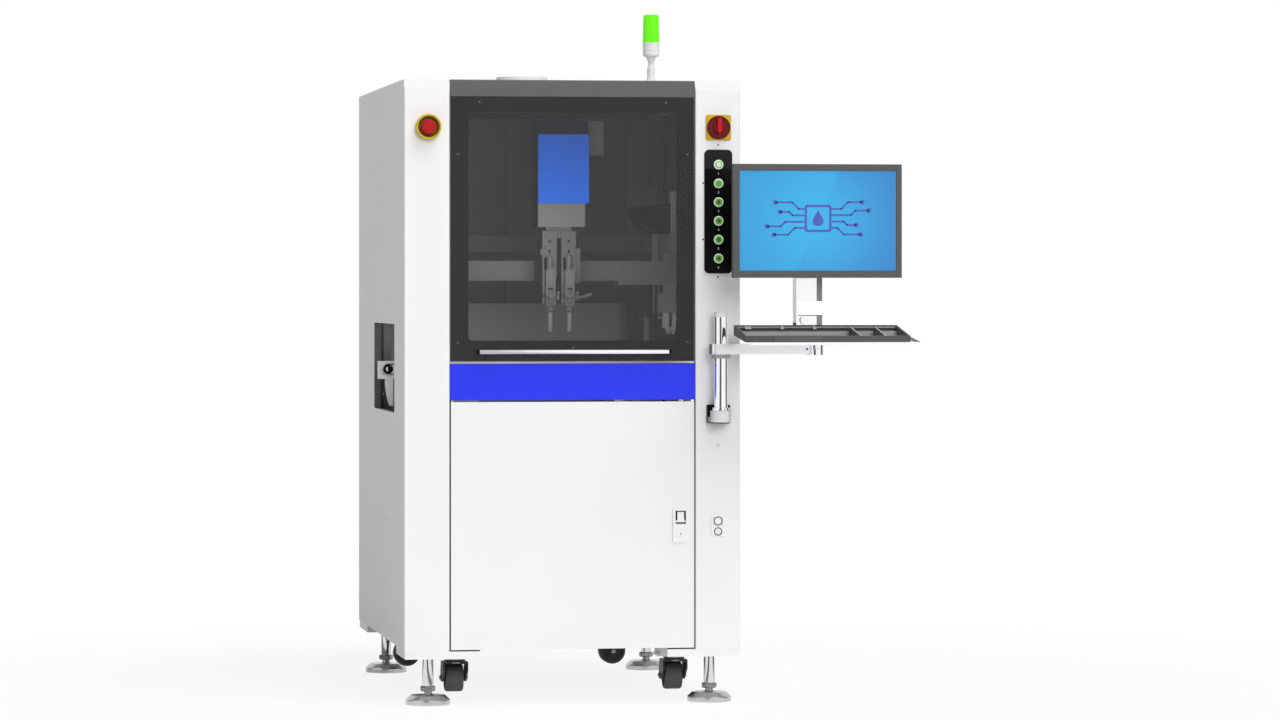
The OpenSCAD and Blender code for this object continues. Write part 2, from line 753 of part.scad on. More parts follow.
// Housing with a frame round the screen, a stepped back and the tilt lug.
module monitor_body() {
    x = [monitor_x - monitor_w / 2, monitor_x + monitor_w / 2];
    z = [1134, 1134 + monitor_h];
    color([0.36, 0.36, 0.36]) placed() {
        difference() {
            prism_y([screen_y, screen_y + 24]) round_rect(x, z, 4);
            bar([x[0] + 17.5, x[1] - 17.5], [screen_y - 1, screen_y + 6], [z[0] + 18, z[1] - 20]);
        }
        difference() {
            prism_y([screen_y + 20, screen_y + 45]) round_rect([x[0] + 50, x[1] - 50], [z[0] + 40, z[1] - 40], 20);
            for (row = [0:7])
                bar([monitor_x - 110, monitor_x + 110], [screen_y + 41, screen_y + 50],
                    [z[1] - 62 - row * 6, z[1] - 59 - row * 6]);
        }
        prism_y([screen_y + 44, screen_y + 49])
            round_rect([monitor_x - 50, monitor_x + 50], [tilt_z - 50, tilt_z + 50], 5);
        bar([monitor_x - 19, monitor_x + 19], [screen_y + 44, tilt_y], [tilt_z - 10, tilt_z + 10]);
        rod_along_x([monitor_x - 19, monitor_x + 19], tilt_y, tilt_z, 12);
        rod_along_x([monitor_x - 30, monitor_x + 30], tilt_y, tilt_z, 6);
    }
}

module monitor_screen() {
    x = [monitor_x - monitor_w / 2 + 17.5, monitor_x + monitor_w / 2 - 17.5];
    color("deepskyblue") placed() bar(x, [screen_y + 2, screen_y + 6], [1152, 1134 + monitor_h - 20]);
}

// Height of the tray's floor face at a distance behind its front edge.
function tray_floor(d) = tray_low[0] + (tray_low[1] - tray_low[0]) * d / (tray_y[1] - tray_y[0]) + 3;
function tray_rim(d) = tray_top[0] + (tray_top[1] - tray_top[0]) * d / (tray_y[1] - tray_y[0]);

// Side outline of the space inside the tray, from near its front wall to its back wall.
module tray_hollow(d, drop) {
    front = tray_y[0] + d[0];
    back = tray_y[0] + d[1];
    polygon([[front, tray_floor(d[0])], [back, tray_floor(d[1])], [back, tray_rim(d[1]) - drop],
        [back, tray_rim(d[1]) + 5], [front, tray_rim(d[0]) + 5]]);
}

// Moulded tray: a keyboard well, three pockets, ribs on the back ledge and a raised front lip.
module keyboard_tray() {
    depth = tray_y[1] - tray_y[0];
    walls = [5, 306, 311, 372, 377, tray_w - 5];
    color([0.3, 0.3, 0.3]) placed() {
        difference() {
            prism_x(tray_x) polygon([[tray_y[0], tray_low[0]], [tray_y[1], tray_low[1]],
                [tray_y[1], tray_top[1]], [tray_y[0], tray_top[0]]]);
            for (i = [0, 2, 4])
                prism_x([tray_x[0] + walls[i], tray_x[0] + walls[i + 1]]) tray_hollow([5, depth - 26], 0);
            prism_x([tray_x[0] + 5, tray_x[1] - 5]) translate([0, 9]) tray_hollow([depth - 26, depth - 5], 0);
        }
        for (x = [40, 125, 212, 300, 374])
            prism_x([tray_x[0] + x, tray_x[0] + x + 6]) polygon([[tray_y[1] - 28, tray_floor(depth - 28)],
                [tray_y[1] - 2, tray_floor(depth - 2)], [tray_y[1] - 2, tray_rim(depth - 2) - 1],
                [tray_y[1] - 28, tray_rim(depth - 28) - 6]]);
        prism_x([tray_x[0] + 75, tray_x[0] + 205]) polygon([[tray_y[0] - 2.5, tray_low[0] + 1],
            [tray_y[0] + 1, tray_low[0] + 1], [tray_y[0] + 1, tray_top[0]], [tray_y[0] - 2.5, tray_top[0] - 1]]);
    }
}

// Two linear axes on the side rails and the cross beam behind them.
module y_axes() {
    height = 50;
    color("lightgray") placed() {
        both_sides() difference() {
            bar([axis_x, frame_x - tube], [front_y + 100, 408], [axis_z, axis_z + height]);
            bar([axis_x - 1, axis_x + 5], [front_y + 110, 398], [axis_z + 12, axis_z + 20]);
            bar([axis_x - 1, axis_x + 5], [front_y + 110, 398], [axis_z + 30, axis_z + 38]);
        }
        bar([-frame_x + tube, frame_x - tube], [410, 450], [axis_z + 4, axis_z + 52]);
    }
}

// Cable chain above the beam's right end: a cover with one round corner, the chain's tray
// leaning over it, and the flat bar that stands on the beam.
module chain_guide() {
    x = [246, 368];
    r = chain_z[1] - chain_z[0];
    prism_y([20, 60]) {
        intersection() {
            translate([x[0] + r, chain_z[1]]) circle(r);
            translate([x[0], chain_z[0]]) square([r, r]);
        }
        translate([x[0] + r, chain_z[0]]) square([x[1] - x[0] - r, r]);
    }
    prism_y([14, 24]) polygon([[244, 1329], [327, 1341], [327, 1399], [244, 1386]]);
    bar([366, 382], [20, 50], [chain_z[0], 1378]);
    bar([318, 337], [56, 66], [beam_z + beam_h, 1345]);
}

// Fittings under the air valve box: regulator, gauge, manifold, its hoses, and an air pipe with
// an elbow on the left.
module air_fittings(x, y, z) {
    bar([x, x + 18], [y, y + 20], [z - 42, z]);
    bar([x + 27, x + 37], [y + 2, y + 18], [z - 40, z]);
    rod_along_y(x + 33, [y - 6, y + 18], z - 17, 6.5);
    rod_along_x([x + 8, x + 37], y + 10, z - 44, 6);
    for (i = [0:2])
        rod_along_z(x + 12 + 5 * i, y + 8, [z - 58, z - 44], 1.8);
    translate([x + 32, y + 6, z - 50]) rotate([0, 200, 0]) cylinder(h = 10, r = 3);
    rod_along_z(x - 13, y - 2, [z - 13, beam_z - 11], 1.5);
    translate([x - 13, y - 2, z - 13]) sphere(1.5);
    rod_along_x([x - 13, x + 1], y - 2, z - 13, 1.5);
    bar([x - 1, x + 2], [y - 4, y + 4], [z - 16, z - 10]);
}

// Beam with two guide rails on its front, a carriage at each end, the cable chain above its
// right end and the head's air valve box on a plate below it.
module gantry_beam() {
    end = frame_x - tube - 4;
    box_z = [1037, 1093];
    color("lightgray") placed() {
        bar([-end, end], beam_y, [beam_z, beam_z + beam_h]);
        for (z = [beam_z + 8, beam_z + beam_h - 16])
            bar([-end + 20, end - 20], [beam_y[0] - 5, beam_y[0]], [z, z + 8]);
        bar([217, end], [beam_y[0], beam_y[1]], [beam_z - 12, beam_z]);
        bar([344, 380], [beam_y[0] + 2, beam_y[0] + 9], [box_z[1] - 6, beam_z]);
        bar([333, end], [beam_y[0] + 8, beam_y[0] + 50], box_z);
        bar([319.5, 324.5], [beam_y[0] + 30, beam_y[0] + 36], [box_z[0] - 3, beam_z]);
        air_fittings(344, beam_y[0] + 10, box_z[0]);
        chain_guide();
        both_sides()
            bar([axis_x + 4, end], [beam_y[0] - 20, beam_y[1] + 10], [beam_z + beam_h, axis_z - 0.4]);
    }
}

// Shell of the head with its sloping top, back plate and the block that rides the beam.
module head_cover() {
    back_t = 10;
    slope_z = head_z[1] - 40;
    color("dodgerblue") placed() {
        difference() {
            prism_x(head_x) polygon([[head_y[0], head_z[0]], [head_y[0], slope_z], [head_y[0] + 28, head_z[1]],
                [head_y[1], head_z[1]], [head_y[1], head_z[0]]]);
            prism_x([head_x[0] + 3, head_x[1] - 3]) polygon([[head_y[0] + 3, head_z[0] - 1],
                [head_y[0] + 3, slope_z - 1], [head_y[0] + 30, head_z[1] - 3],
                [head_y[1] - back_t, head_z[1] - 3], [head_y[1] - back_t, head_z[0] - 1]]);
        }
        bar([head_x[0] + 8, head_x[1] - 8], [head_y[1] - back_t, head_y[1]], [beam_z - 5, head_z[0] + 5]);
        bar([head_x[0] + 16, head_x[1] - 16], [head_y[1], beam_y[0] - 5.4], [beam_z + 4, beam_z + beam_h - 4]);
        bar([head_x[0] + 41, head_x[0] + 101], [head_y[1] - 22, head_y[1] - back_t], [1290, 1540]);
        bar([head_x[1], head_x[1] + 58], [head_y[1] - 8, head_y[1]], [1475, 1571]);
    }
}

// Moving plate with the valves' common block and their two hanging plates.
module z_slide() {
    block_x = [head_x[0], head_x[0] + 131];
    color("whitesmoke") placed() {
        bar([head_x[0] + 6, head_x[0] + 128], [head_y[1] - 36, head_y[1] - 22.5], [plate_z, 1500]);
        bar(block_x, [head_y[0], head_y[1] - 22.5], [plate_z, head_z[0] - 0.6]);
        bar([-8, 64], [head_y[0] + 8, head_y[0] + 34], [1244, plate_z]);
        for (x = valve_x) difference() {
            bar([x - 20, x + 20], [head_y[0] - 4, head_y[0] + 8], [1140, 1264]);
            for (z = [1236, 1208])
                rod_along_y(x, [head_y[0] - 5, head_y[0] + 4], z, 2.6);
        }
        bar([valve_x[1] + 14, valve_x[1] + 33], [head_y[0] + 2, head_y[0] + 10], [1120, 1216]);
        bar([valve_x[0] - 26, valve_x[0] - 19], [head_y[0] - 4, head_y[0] + 6], [1198, 1214]);
    }
}

// One spray valve: air cylinder, stepped body, side fittings, ring nut and nozzle.
module spray_valve(x) {
    y = head_y[0] - 18;
    body_y = [y - 14, head_y[0] - 4];
    bar([x - 13.5, x + 13.5], body_y, [1057, 1154]);
    bar([x - 10, x + 16], [body_y[0] + 6, head_y[0] - 4], [1130, 1158]);
    rod_along_z(x + 2, y, [1154, 1160], 8.5);
    rod_along_z(x + 2, y, [1158, 1192], 6);
    translate([x + 2, y, 1192]) sphere(6);
    rod_along_y(x, [y - 16, y], 1071, 6);
    rod_along_z(x, y, [1052, 1058], 10);
    rod_along_z(x, y, [1043, 1053], 11.8);
    rod_along_z(x, y, [1039, 1044], 7);
    rod_along_z(x, y, [nozzle_z + 3, 1040], 5.6);
    translate([x, y, nozzle_z]) cylinder(h = 3.2, r1 = 3.6, r2 = 5.6);
    // Air and fluid tubes on the left.
    rod_along_z(x - 18, y + 4, [1092, 1150], 4);
    rod_along_z(x - 18, y + 4, [1063, 1079], 5);
    rod_along_z(x - 18, y + 4, [1072, 1100], 2);
    rod_along_x([x - 18, x], y + 4, 1134, 3.5);
    rod_along_x([x - 18, x], y + 4, 1098, 3.5);
    rod_along_x([x - 18, x], y + 4, 1071, 2.5);
    // Flow adjuster on the right.
    rod_along_x([x + 10, x + 24], y + 2, 1079, 4);
    rod_along_x([x + 17, x + 25], y + 2, 1079, 7);
    rod_along_z(x + 22, y + 2, [1082, 1092], 4);
    translate([x + 22, y + 2, 1092]) sphere(6);
}

module spray_valves() {
    lever_x = valve_x[1] + 25;
    color("silver") placed() {
        for (x = valve_x)
            spray_valve(x);
        rod_along_x([lever_x - 4, lever_x + 4], head_y[0] - 16, 1079, 7);
        translate([lever_x + 2, head_y[0] - 16, 1079]) rotate([0, 74, 0]) {
            cylinder(h = 14, r1 = 3, r2 = 3.4);
            translate([0, 0, 13]) cylinder(h = 24, r1 = 4, r2 = 5.5);
        }
    }
}

// Toothed drum about an axis along Y.
module toothed_drum(x, y, r) {
    difference() {
        rod_along_y(x, y, pulley_z, r);
        for (a = [0:30:330])
            translate([x, y[0] - 1, pulley_z]) rotate([0, a, 0])
                translate([r + 0.6, 0, 0]) rotate([-90, 0, 0]) cylinder(h = 20, r = 1.4);
    }
}

// Rail with a belt groove on both faces. On its inner side a belt runs from the driven end on
// the right to a toothed idler with a raised hub on the left.
module rail(y, inner_side) {
    out = inner_side ? 1 : -1;
    face = y[inner_side ? 1 : 0];
    belt_y = inner_side ? [face + 2, face + 9] : [face - 9, face - 2];
    idler_y = [min(face, face + 10 * out), max(face, face + 10 * out)];
    hub_y = [min(face, face + 12.5 * out), max(face, face + 12.5 * out)];
    difference() {
        bar([-rail_end, rail_end], y, [rail_z - rail_h, rail_z]);
        bar([-rail_end + 60, rail_end - 60], [y[0] - 1, y[0] + 3], [rail_z - 36, rail_z - 28]);
        bar([-rail_end + 60, rail_end - 60], [y[1] - 3, y[1] + 1], [rail_z - 36, rail_z - 28]);
        rod_along_y(pulley_x, [y[0] - 1, y[1] + 1], pulley_z, shaft_r + run);
    }
    toothed_drum(-pulley_x, idler_y, belt_r + 0.02);
    difference() {
        rod_along_y(-pulley_x, hub_y, pulley_z, 7.5);
        rod_along_y(-pulley_x, [hub_y[0] - 1, hub_y[0] + 3], pulley_z, 2.4);
        rod_along_y(-pulley_x, [hub_y[1] - 3, hub_y[1] + 1], pulley_z, 2.4);
    }
    prism_y(belt_y) difference() {
        loop_2d([-pulley_x, pulley_x], pulley_z, belt_r + belt_t);
        loop_2d([-pulley_x, pulley_x], pulley_z, belt_r);
    }
    bar([30 - pulley_x, pulley_x - 30], [min(face, belt_y[0]), max(face, belt_y[1])],
        [pulley_z + 6, pulley_z + belt_r + 0.02]);
}

// Fixed rail on its legs, the two guide rods, their rear blocks, the shaft's rear bearing and
// the gear motor behind it.
module conveyor_frame() {
    fixed_y = [-rail_front - rail_t, -rail_front];
    rear_y = [300, 330];
    color("silver") placed() {
        rail(fixed_y, true);
        for (x = [-rod_x, rod_x]) {
            bar([x - 30, x + 30], fixed_y, [deck_z, rail_z - rail_h]);
            bar([x - 30, x + 30], rear_y, [deck_z, rod_z + 24]);
            rod_along_y(x, [fixed_y[1], rear_y[0]], rod_z, rod_r);
        }
        difference() {
            union() {
                bar([pulley_x - 18, pulley_x + 18], rear_y, [deck_z - 12, pulley_z + 14]);
                bar([pulley_x - 17, pulley_x + 17], [rear_y[1] - 1, rear_y[1] + 62],
                    [pulley_z - 17, pulley_z + 17]);
                rod_along_y(pulley_x, [rear_y[1] + 61, rear_y[1] + 80], pulley_z, 15);
            }
            rod_along_y(pulley_x, [rear_y[0] - 1, rear_y[1] + 7], pulley_z, shaft_r + run);
        }
    }
}

// Sliding rail with its two bearing blocks and a curved bracket under each end.
module rear_rail() {
    y = [rear_rail_y, rear_rail_y + rail_t];
    bend_r = 256;
    color("silver") placed() {
        rail(y, false);
        for (x = [-rod_x, rod_x]) difference() {
            bar([x - 30, x + 30], [y[0] - 4, y[1] + 4], [rod_z - 22, rail_z - rail_h]);
            rod_along_y(x, [y[0] - 5, y[1] + 5], rod_z, rod_r + run);
        }
        both_sides() intersection() {
            bar([rail_end - 41, rail_end - 20], [y[0] + 4, y[1] - 4], [778, rail_z - rail_h]);
            rod_along_y(rail_end - 20 - bend_r, y, rail_z - rail_h, bend_r);
        }
    }
}

module drive_shaft() {
    color("darkgray") placed() {
        rod_along_y(pulley_x, [-rail_front - rail_t - 6, 336], pulley_z, shaft_r);
        toothed_drum(pulley_x, [-rail_front + 1, -rail_front + 10], pulley_r);
    }
}

module rear_pulley() {
    y = [rear_rail_y - 10, rear_rail_y - 1];
    color("gray") placed() difference() {
        union() {
            toothed_drum(pulley_x, y, pulley_r);
            rod_along_y(pulley_x, [y[0] - 4, y[0]], pulley_z, 9);
        }
        rod_along_y(pulley_x, [y[0] - 5, y[1] + 1], pulley_z, shaft_r + run);
    }
}

// Shallow pan under the spray area, and the splash wall behind it with a rolled right end.
module drip_tray() {
    pan_x = [-212, 212];
    pan_y = [-330, 290];
    wall_y = 396;
    bend = 60;
    color("lightgray") placed() {
        difference() {
            bar(pan_x, pan_y, [deck_z, deck_z + 18]);
            bar([pan_x[0] + 2, pan_x[1] - 2], [pan_y[0] + 2, pan_y[1] - 2], [deck_z + 2, deck_z + 19]);
        }
        bar([-380, 250], [wall_y, wall_y + 2], [deck_z, 1063]);
        bar([-380, 250], [wall_y, wall_y + 14], [1061, 1063]);
        intersection() {
            translate([250, wall_y + bend, deck_z]) difference() {
                cylinder(h = 1063 - deck_z, r = bend);
                translate([0, 0, -1]) cylinder(h = 1065 - deck_z, r = bend - 2);
            }
            bar([250, 320], [wall_y, wall_y + bend], [deck_z, 1063]);
        }
    }
}

// Nozzle cleaning station behind the sliding rail: a post with a foot, an arm that holds an open
// solvent cup at the far corner of the nozzles' travel, and a bent filling tube on top.
module purge_station() {
    post_x = [315, 327];
    post_mid = 181;
    cup = [valve_x[1] + 180, head_y[0] - 18 + 280];
    cup_z = [908, 950];
    arm_z = [922, 929];
    tube_z = 1037;
    color("gainsboro") placed() {
        bar(post_x, [post_mid - 9, post_mid + 9], [deck_z, 1024]);
        bar([post_x[0] - 14, post_x[1] + 14], [post_mid - 21, post_mid + 21], [deck_z, deck_z + 6]);
        bar([cup[0] - 5, post_x[1]], [post_mid - 5, post_mid + 5], arm_z);
        difference() {
            union() {
                bar([cup[0] - 5, cup[0] + 5], [cup[1], post_mid], arm_z);
                rod_along_z(cup[0], cup[1], cup_z, 12.5);
            }
            rod_along_z(cup[0], cup[1], [cup_z[0] + 3, cup_z[1] + 1], 11);
        }
        rod_along_z(post_x[0] + 1.5, post_mid, [1020, tube_z], 1.3);
        translate([post_x[0] + 1.5, post_mid, tube_z]) sphere(1.3);
        rod_along_x([post_x[0] - 12, post_x[0] + 1.5], post_mid, tube_z, 1.3);
        rod_along_z(post_x[0] - 12, post_mid, [tube_z - 4, tube_z + 1.3], 1.3);
        bar([post_x[0] - 15, post_x[0] + 1], [post_mid - 4, post_mid + 4], [1017, 1020]);
    }
}

// Signal lamp: foot, pole, body and lens.
module lamp_pole() {
    color("gainsboro") placed() translate([248, -390, cab_h]) rotate_extrude() polygon([[0, 0], [23, 0], [23, 4],
        [16, 9], [11, 18], [10.5, 18], [10.5, 45], [7.5, 46], [7.5, 58], [9, 62], [12, 72], [13, 74], [19, 74],
        [22.5, 79], [22.5, 108], [23.2, 108], [23.2, 112], [0, 112]]);
}

module lamp_lens() {
    color("lime") placed() translate([248, -390, cab_h + 112]) rotate_extrude() polygon([[0, 0], [22.6, 0],
        [21.4, 70], [20.6, 74], [17, 76.2], [10, 77.4], [0, 78]]);
}

// Control enclosure: a box with a door seam and a fan guard, open to the rear panel.
module control_cabinet() {
    x = [-350, 60];
    y = [150, 560];
    z = [pan_z + 53, 640];
    wall = 3;
    color("gainsboro") placed() difference() {
        bar(x, y, z);
        bar([x[0] + wall, x[1] - wall], [y[0] + wall, y[1] + 1], [z[0] + wall, z[1] - wall]);
        difference() {
            bar([x[0] + 12, x[1] - 12], [y[0] - 1, y[0] + 1.5], [z[0] + 12, z[1] - 12]);
            bar([x[0] + 14, x[1] - 14], [y[0] - 2, y[0] + 2], [z[0] + 14, z[1] - 14]);
        }
        for (r = [12:9:48]) difference() {
            rod_along_y(-70, [y[0] - 1, y[0] + 1.5], 300, r + 3);
            rod_along_y(-70, [y[0] - 2, y[0] + 2], 300, r);
        }
    }
}

// Two pressure tanks with clamped lids and a filling neck.
module fluid_tanks() {
    color("silver") placed() for (x = [150, 305]) translate([x, -250, pan_z + 3]) {
        rotate_extrude() polygon([[0, 0], [66, 0], [70, 6], [70, 230], [73, 232], [73, 242], [70, 244],
            [62, 254], [40, 262], [16, 265], [16, 285], [20, 285], [20, 294], [0, 294]]);
        for (a = [0:60:300])
            rotate([0, 0, a]) translate([66, 0, 240]) cylinder(h = 14, r = 5);
    }
}

frame_posts();
frame_rails();
base_pan();
deck_plate();
left_side_panel();
right_side_panel();
rear_panels();
roof_panel();
exhaust_collar();
front_columns();
blue_fascia();
estop_guard();
switch_plate();
button_panel();
service_sockets();
levelling_feet();
monitor_post();
y_axes();
conveyor_frame();
drip_tray();
purge_station();
lamp_pole();
lamp_lens();
control_cabinet();
fluid_tanks();
hood_shell();
hood_window();
hood_handle();
lower_door();
latch_housing();
latch_paddle();
switch_knob();
estop_button();
push_button(0);  // push_button_1
push_button(1);  // push_button_2
push_button(2);  // push_button_3
push_button(3);  // push_button_4
push_button(4);  // push_button_5
push_button(5);  // push_button_6
stop_collar();
swing_arm();
monitor_bracket();
monitor_body();
monitor_screen();
keyboard_tray();
gantry_beam();
head_cover();
z_slide();
spray_valves();
rear_rail();
drive_shaft();
rear_pulley();
caster_fork(-caster_x, -caster_y, 0);  // caster_fork_front_left
caster_fork(caster_x, -caster_y, 0);  // caster_fork_front_right
caster_fork(-caster_x, caster_y, 90);  // caster_fork_rear_left
caster_fork(caster_x, caster_y, 90);  // caster_fork_rear_right
caster_wheel(-caster_x, -caster_y, 0);  // caster_wheel_front_left
caster_wheel(caster_x, -caster_y, 0);  // caster_wheel_front_right
caster_wheel(-caster_x, caster_y, 90);  // caster_wheel_rear_left
caster_wheel(caster_x, caster_y, 90);  // caster_wheel_rear_right
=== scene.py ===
import json
import math

import bmesh
import bpy
import numpy as np
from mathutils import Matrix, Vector


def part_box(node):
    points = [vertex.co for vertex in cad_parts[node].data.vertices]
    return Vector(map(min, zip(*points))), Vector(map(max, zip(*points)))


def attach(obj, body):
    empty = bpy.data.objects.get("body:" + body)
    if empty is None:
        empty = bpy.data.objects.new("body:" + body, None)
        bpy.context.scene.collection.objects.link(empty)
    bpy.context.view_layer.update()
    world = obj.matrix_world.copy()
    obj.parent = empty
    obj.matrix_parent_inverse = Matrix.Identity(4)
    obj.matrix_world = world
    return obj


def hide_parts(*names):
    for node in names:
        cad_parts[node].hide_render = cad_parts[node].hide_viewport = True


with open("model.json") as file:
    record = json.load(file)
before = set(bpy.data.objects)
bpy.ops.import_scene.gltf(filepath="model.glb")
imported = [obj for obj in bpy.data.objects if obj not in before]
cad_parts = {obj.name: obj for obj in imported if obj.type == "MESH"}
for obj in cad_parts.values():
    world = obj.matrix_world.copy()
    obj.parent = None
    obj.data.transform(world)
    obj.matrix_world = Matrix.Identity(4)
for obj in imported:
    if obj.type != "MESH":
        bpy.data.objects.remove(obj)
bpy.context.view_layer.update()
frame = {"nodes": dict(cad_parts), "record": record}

# Pieces are laid out in the cabinet's own millimetres: X from its middle, Y from its middle,
# Z from the floor. toFrame turns them into the frame's metres.
frontFace = -640
columnLow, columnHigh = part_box("front_columns")
origin = np.array([(columnLow.x + columnHigh.x) / 2, columnLow.y - frontFace * 0.001, 0.0])


def toFrame(points):
    return np.asarray(points, float) * 0.001 + origin


def fromFrame(corner):
    return (np.array(corner) - origin) * 1000


# Camera, floor and light

view = dict(
    place=(-1792.2, -13709.25, 1115.2),  # mm, in the cabinet's axes
    turn=-0.149763,  # to the right of straight ahead, rad
    lens=139.72,
    sensor=36,
    shiftY=-0.0586,
    reach=100,  # m
)


def addObject(name, data):
    holder = bpy.data.objects.new(name, data)
    bpy.context.scene.collection.objects.link(holder)
    return holder


def makeCamera():
    camera = bpy.data.cameras.new("viewCamera")
    camera.lens = view["lens"]
    camera.sensor_width = view["sensor"]
    camera.shift_y = view["shiftY"]
    camera.clip_end = view["reach"]
    holder = addObject("viewCamera", camera)
    holder.location = toFrame(view["place"])
    holder.rotation_euler = (math.pi / 2, 0, view["turn"])
    bpy.context.scene.camera = holder


studio = dict(
    sky=0.34,  # plain light from all round
    lamps=(  # name, strength, height above the horizon, turn to the right, width, all in degrees
        ("frontLight", 0.43, 16, 6, 24),
        ("topLight", 0.46, 54, 33, 36),
    ),
    floorSide=30.0,  # half the floor's width, in metres
    floorColour=(0.95, 0.95, 0.95, 1),
    floorGlow=(0.86, 1.0),  # share of plain white that the camera sees in the floor, near and far
    floorFar=(1.4, 3.0),  # metres out over which that share grows
    mirrorFar=(0.2, 0.6),  # metres out over which mirror rays begin to see the horizon's shades in it
    # what polished metal sees round the horizon: degrees to the right of the front, and shade
    horizon=((-180, 0.85), (-140, 0.85), (-128, 0.10), (-110, 0.10), (-98, 0.95), (-36, 1.0), (-27, 0.10),
             (-6, 0.10), (2, 1.0), (66, 1.0), (80, 0.10), (104, 0.10), (116, 0.85), (180, 0.85)),
    inside=(  # name, kind, watts, place and target in mm, settings
        ("chamberLamp", "AREA", 2.5, (-40, -510, 1230), (70, -60, 1440), dict(size=0.24)),
        ("slotLamp", "SPOT", 0.85, (-330, 420, 1000), (-412, 570, 885),
         dict(spot_size=math.radians(96), spot_blend=0.6, shadow_soft_size=0.02)),
    ),
)
plainWhite = (1, 1, 1, 1)


def addNode(tree, kind, values=None, **settings):
    made = tree.nodes.new("ShaderNode" + kind)
    for key, value in settings.items():
        setattr(made, key, value)
    for key, value in (values or {}).items():
        if isinstance(value, bpy.types.NodeSocket):
            tree.links.new(value, made.inputs[key])
        else:
            made.inputs[key].default_value = value
    return made


def mathNode(tree, operation, first, second):
    return addNode(tree, "Math", {0: first, 1: second}, operation=operation).outputs[0]


def spanNode(tree, value, source=(0.0, 1.0), target=(0.0, 1.0), **settings):
    # a value carried from one range to another
    ends = {"From Min": source[0], "From Max": source[1], "To Min": target[0], "To Max": target[1]}
    return addNode(tree, "MapRange", {"Value": value, **ends}, **settings).outputs[0]


def blendNode(tree, share, first, second):
    return addNode(tree, "Mix", {0: share, 6: first, 7: second}, data_type="RGBA").outputs[2]


def placeNode(tree, source="Object"):
    return addNode(tree, "TexCoord").outputs[source]


def seenRays(tree):
    # 1 for rays from the camera and for mirror and glass rays
    path = addNode(tree, "LightPath").outputs
    first = mathNode(tree, "MAXIMUM", path["Is Camera Ray"], path["Is Glossy Ray"])
    return mathNode(tree, "MAXIMUM", first, path["Is Transmission Ray"])


def mirrorRays(tree):
    return addNode(tree, "LightPath").outputs["Is Glossy Ray"]


def horizonShade(tree, source="Generated"):
    # angle of a direction about Z, read off the horizon's list of shades
    parts = addNode(tree, "SeparateXYZ", {0: placeNode(tree, source)}).outputs
    back = mathNode(tree, "MULTIPLY", parts["Y"], -1.0)
    angle = mathNode(tree, "ARCTAN2", parts["X"], back)
    ramp = addNode(tree, "ValToRGB", {0: spanNode(tree, angle, (-math.pi, math.pi))})
    stops = ramp.color_ramp.elements
    while len(stops) < len(studio["horizon"]):
        stops.new(0.5)
    for stop, (degrees, shade) in zip(stops, studio["horizon"]):
        stop.position = degrees / 360 + 0.5
        stop.color = (shade, shade, shade, 1)
    return ramp.outputs[0]


def addLamp(name, kind, strength, turn, place=(0, 0, 0), **settings):
    lamp = bpy.data.lights.new(name, kind)
    lamp.energy = strength
    for key, value in settings.items():
        setattr(lamp, key, value)
    holder = addObject(name, lamp)
    holder.rotation_euler = turn
    holder.location = place
    holder.visible_glossy = False
    holder.visible_camera = False
    holder.visible_transmission = False


def makeWorld():
    bpy.context.scene.view_settings.view_transform = "Standard"
    world = bpy.data.worlds.new("studio")
    bpy.context.scene.world = world
    world.use_nodes = True
    tree = world.node_tree
    tree.nodes.clear()
    shade = blendNode(tree, mirrorRays(tree), plainWhite, horizonShade(tree))
    plain = addNode(tree, "Background", {"Color": plainWhite, "Strength": studio["sky"]})
    white = addNode(tree, "Background", {"Color": shade, "Strength": 1.0})
    mix = addNode(tree, "MixShader", {0: seenRays(tree), 1: plain.outputs[0], 2: white.outputs[0]})
    addNode(tree, "OutputWorld", {"Surface": mix.outputs[0]})
    for name, strength, height, right, width in studio["lamps"]:
        addLamp(name, "SUN", strength * math.pi, (math.radians(90 - height), 0, math.radians(right)),
                angle=math.radians(width))
    for name, kind, watts, place, target, settings in studio["inside"]:
        place, target = toFrame(place), toFrame(target)
        aim = Vector(target - place).to_track_quat("-Z", "Y").to_euler()
        addLamp(name, kind, watts, aim, place, **settings)


def makeFloor():
    side = studio["floorSide"]
    floor = bpy.data.meshes.new("floor")
    floor.from_pydata([(-side, -side, 0), (side, -side, 0), (side, side, 0), (-side, side, 0)], [], [(0, 1, 2, 3)])
    holder = addObject("floor", floor)
    paint = bpy.data.materials.new("studioFloor")
    paint.use_nodes = True
    tree = paint.node_tree
    tree.nodes.clear()
    matt = addNode(tree, "BsdfDiffuse", {"Color": studio["floorColour"]})
    out = addNode(tree, "VectorMath", {0: placeNode(tree)}, operation="LENGTH").outputs["Value"]
    mirrored = mathNode(tree, "MULTIPLY", spanNode(tree, out, studio["mirrorFar"]), mirrorRays(tree))
    shade = blendNode(tree, mirrored, plainWhite, horizonShade(tree, "Object"))
    glow = addNode(tree, "Emission", {"Color": shade, "Strength": 1.0})
    grown = spanNode(tree, out, studio["floorFar"], studio["floorGlow"])
    share = mathNode(tree, "MULTIPLY", seenRays(tree), grown)
    mix = addNode(tree, "MixShader", {0: share, 1: matt.outputs[0], 2: glow.outputs[0]})
    addNode(tree, "OutputMaterial", {"Surface": mix.outputs[0]})
    floor.materials.append(paint)


makeCamera()
makeWorld()
makeFloor()
print("camera and studio are set")


# Finishes

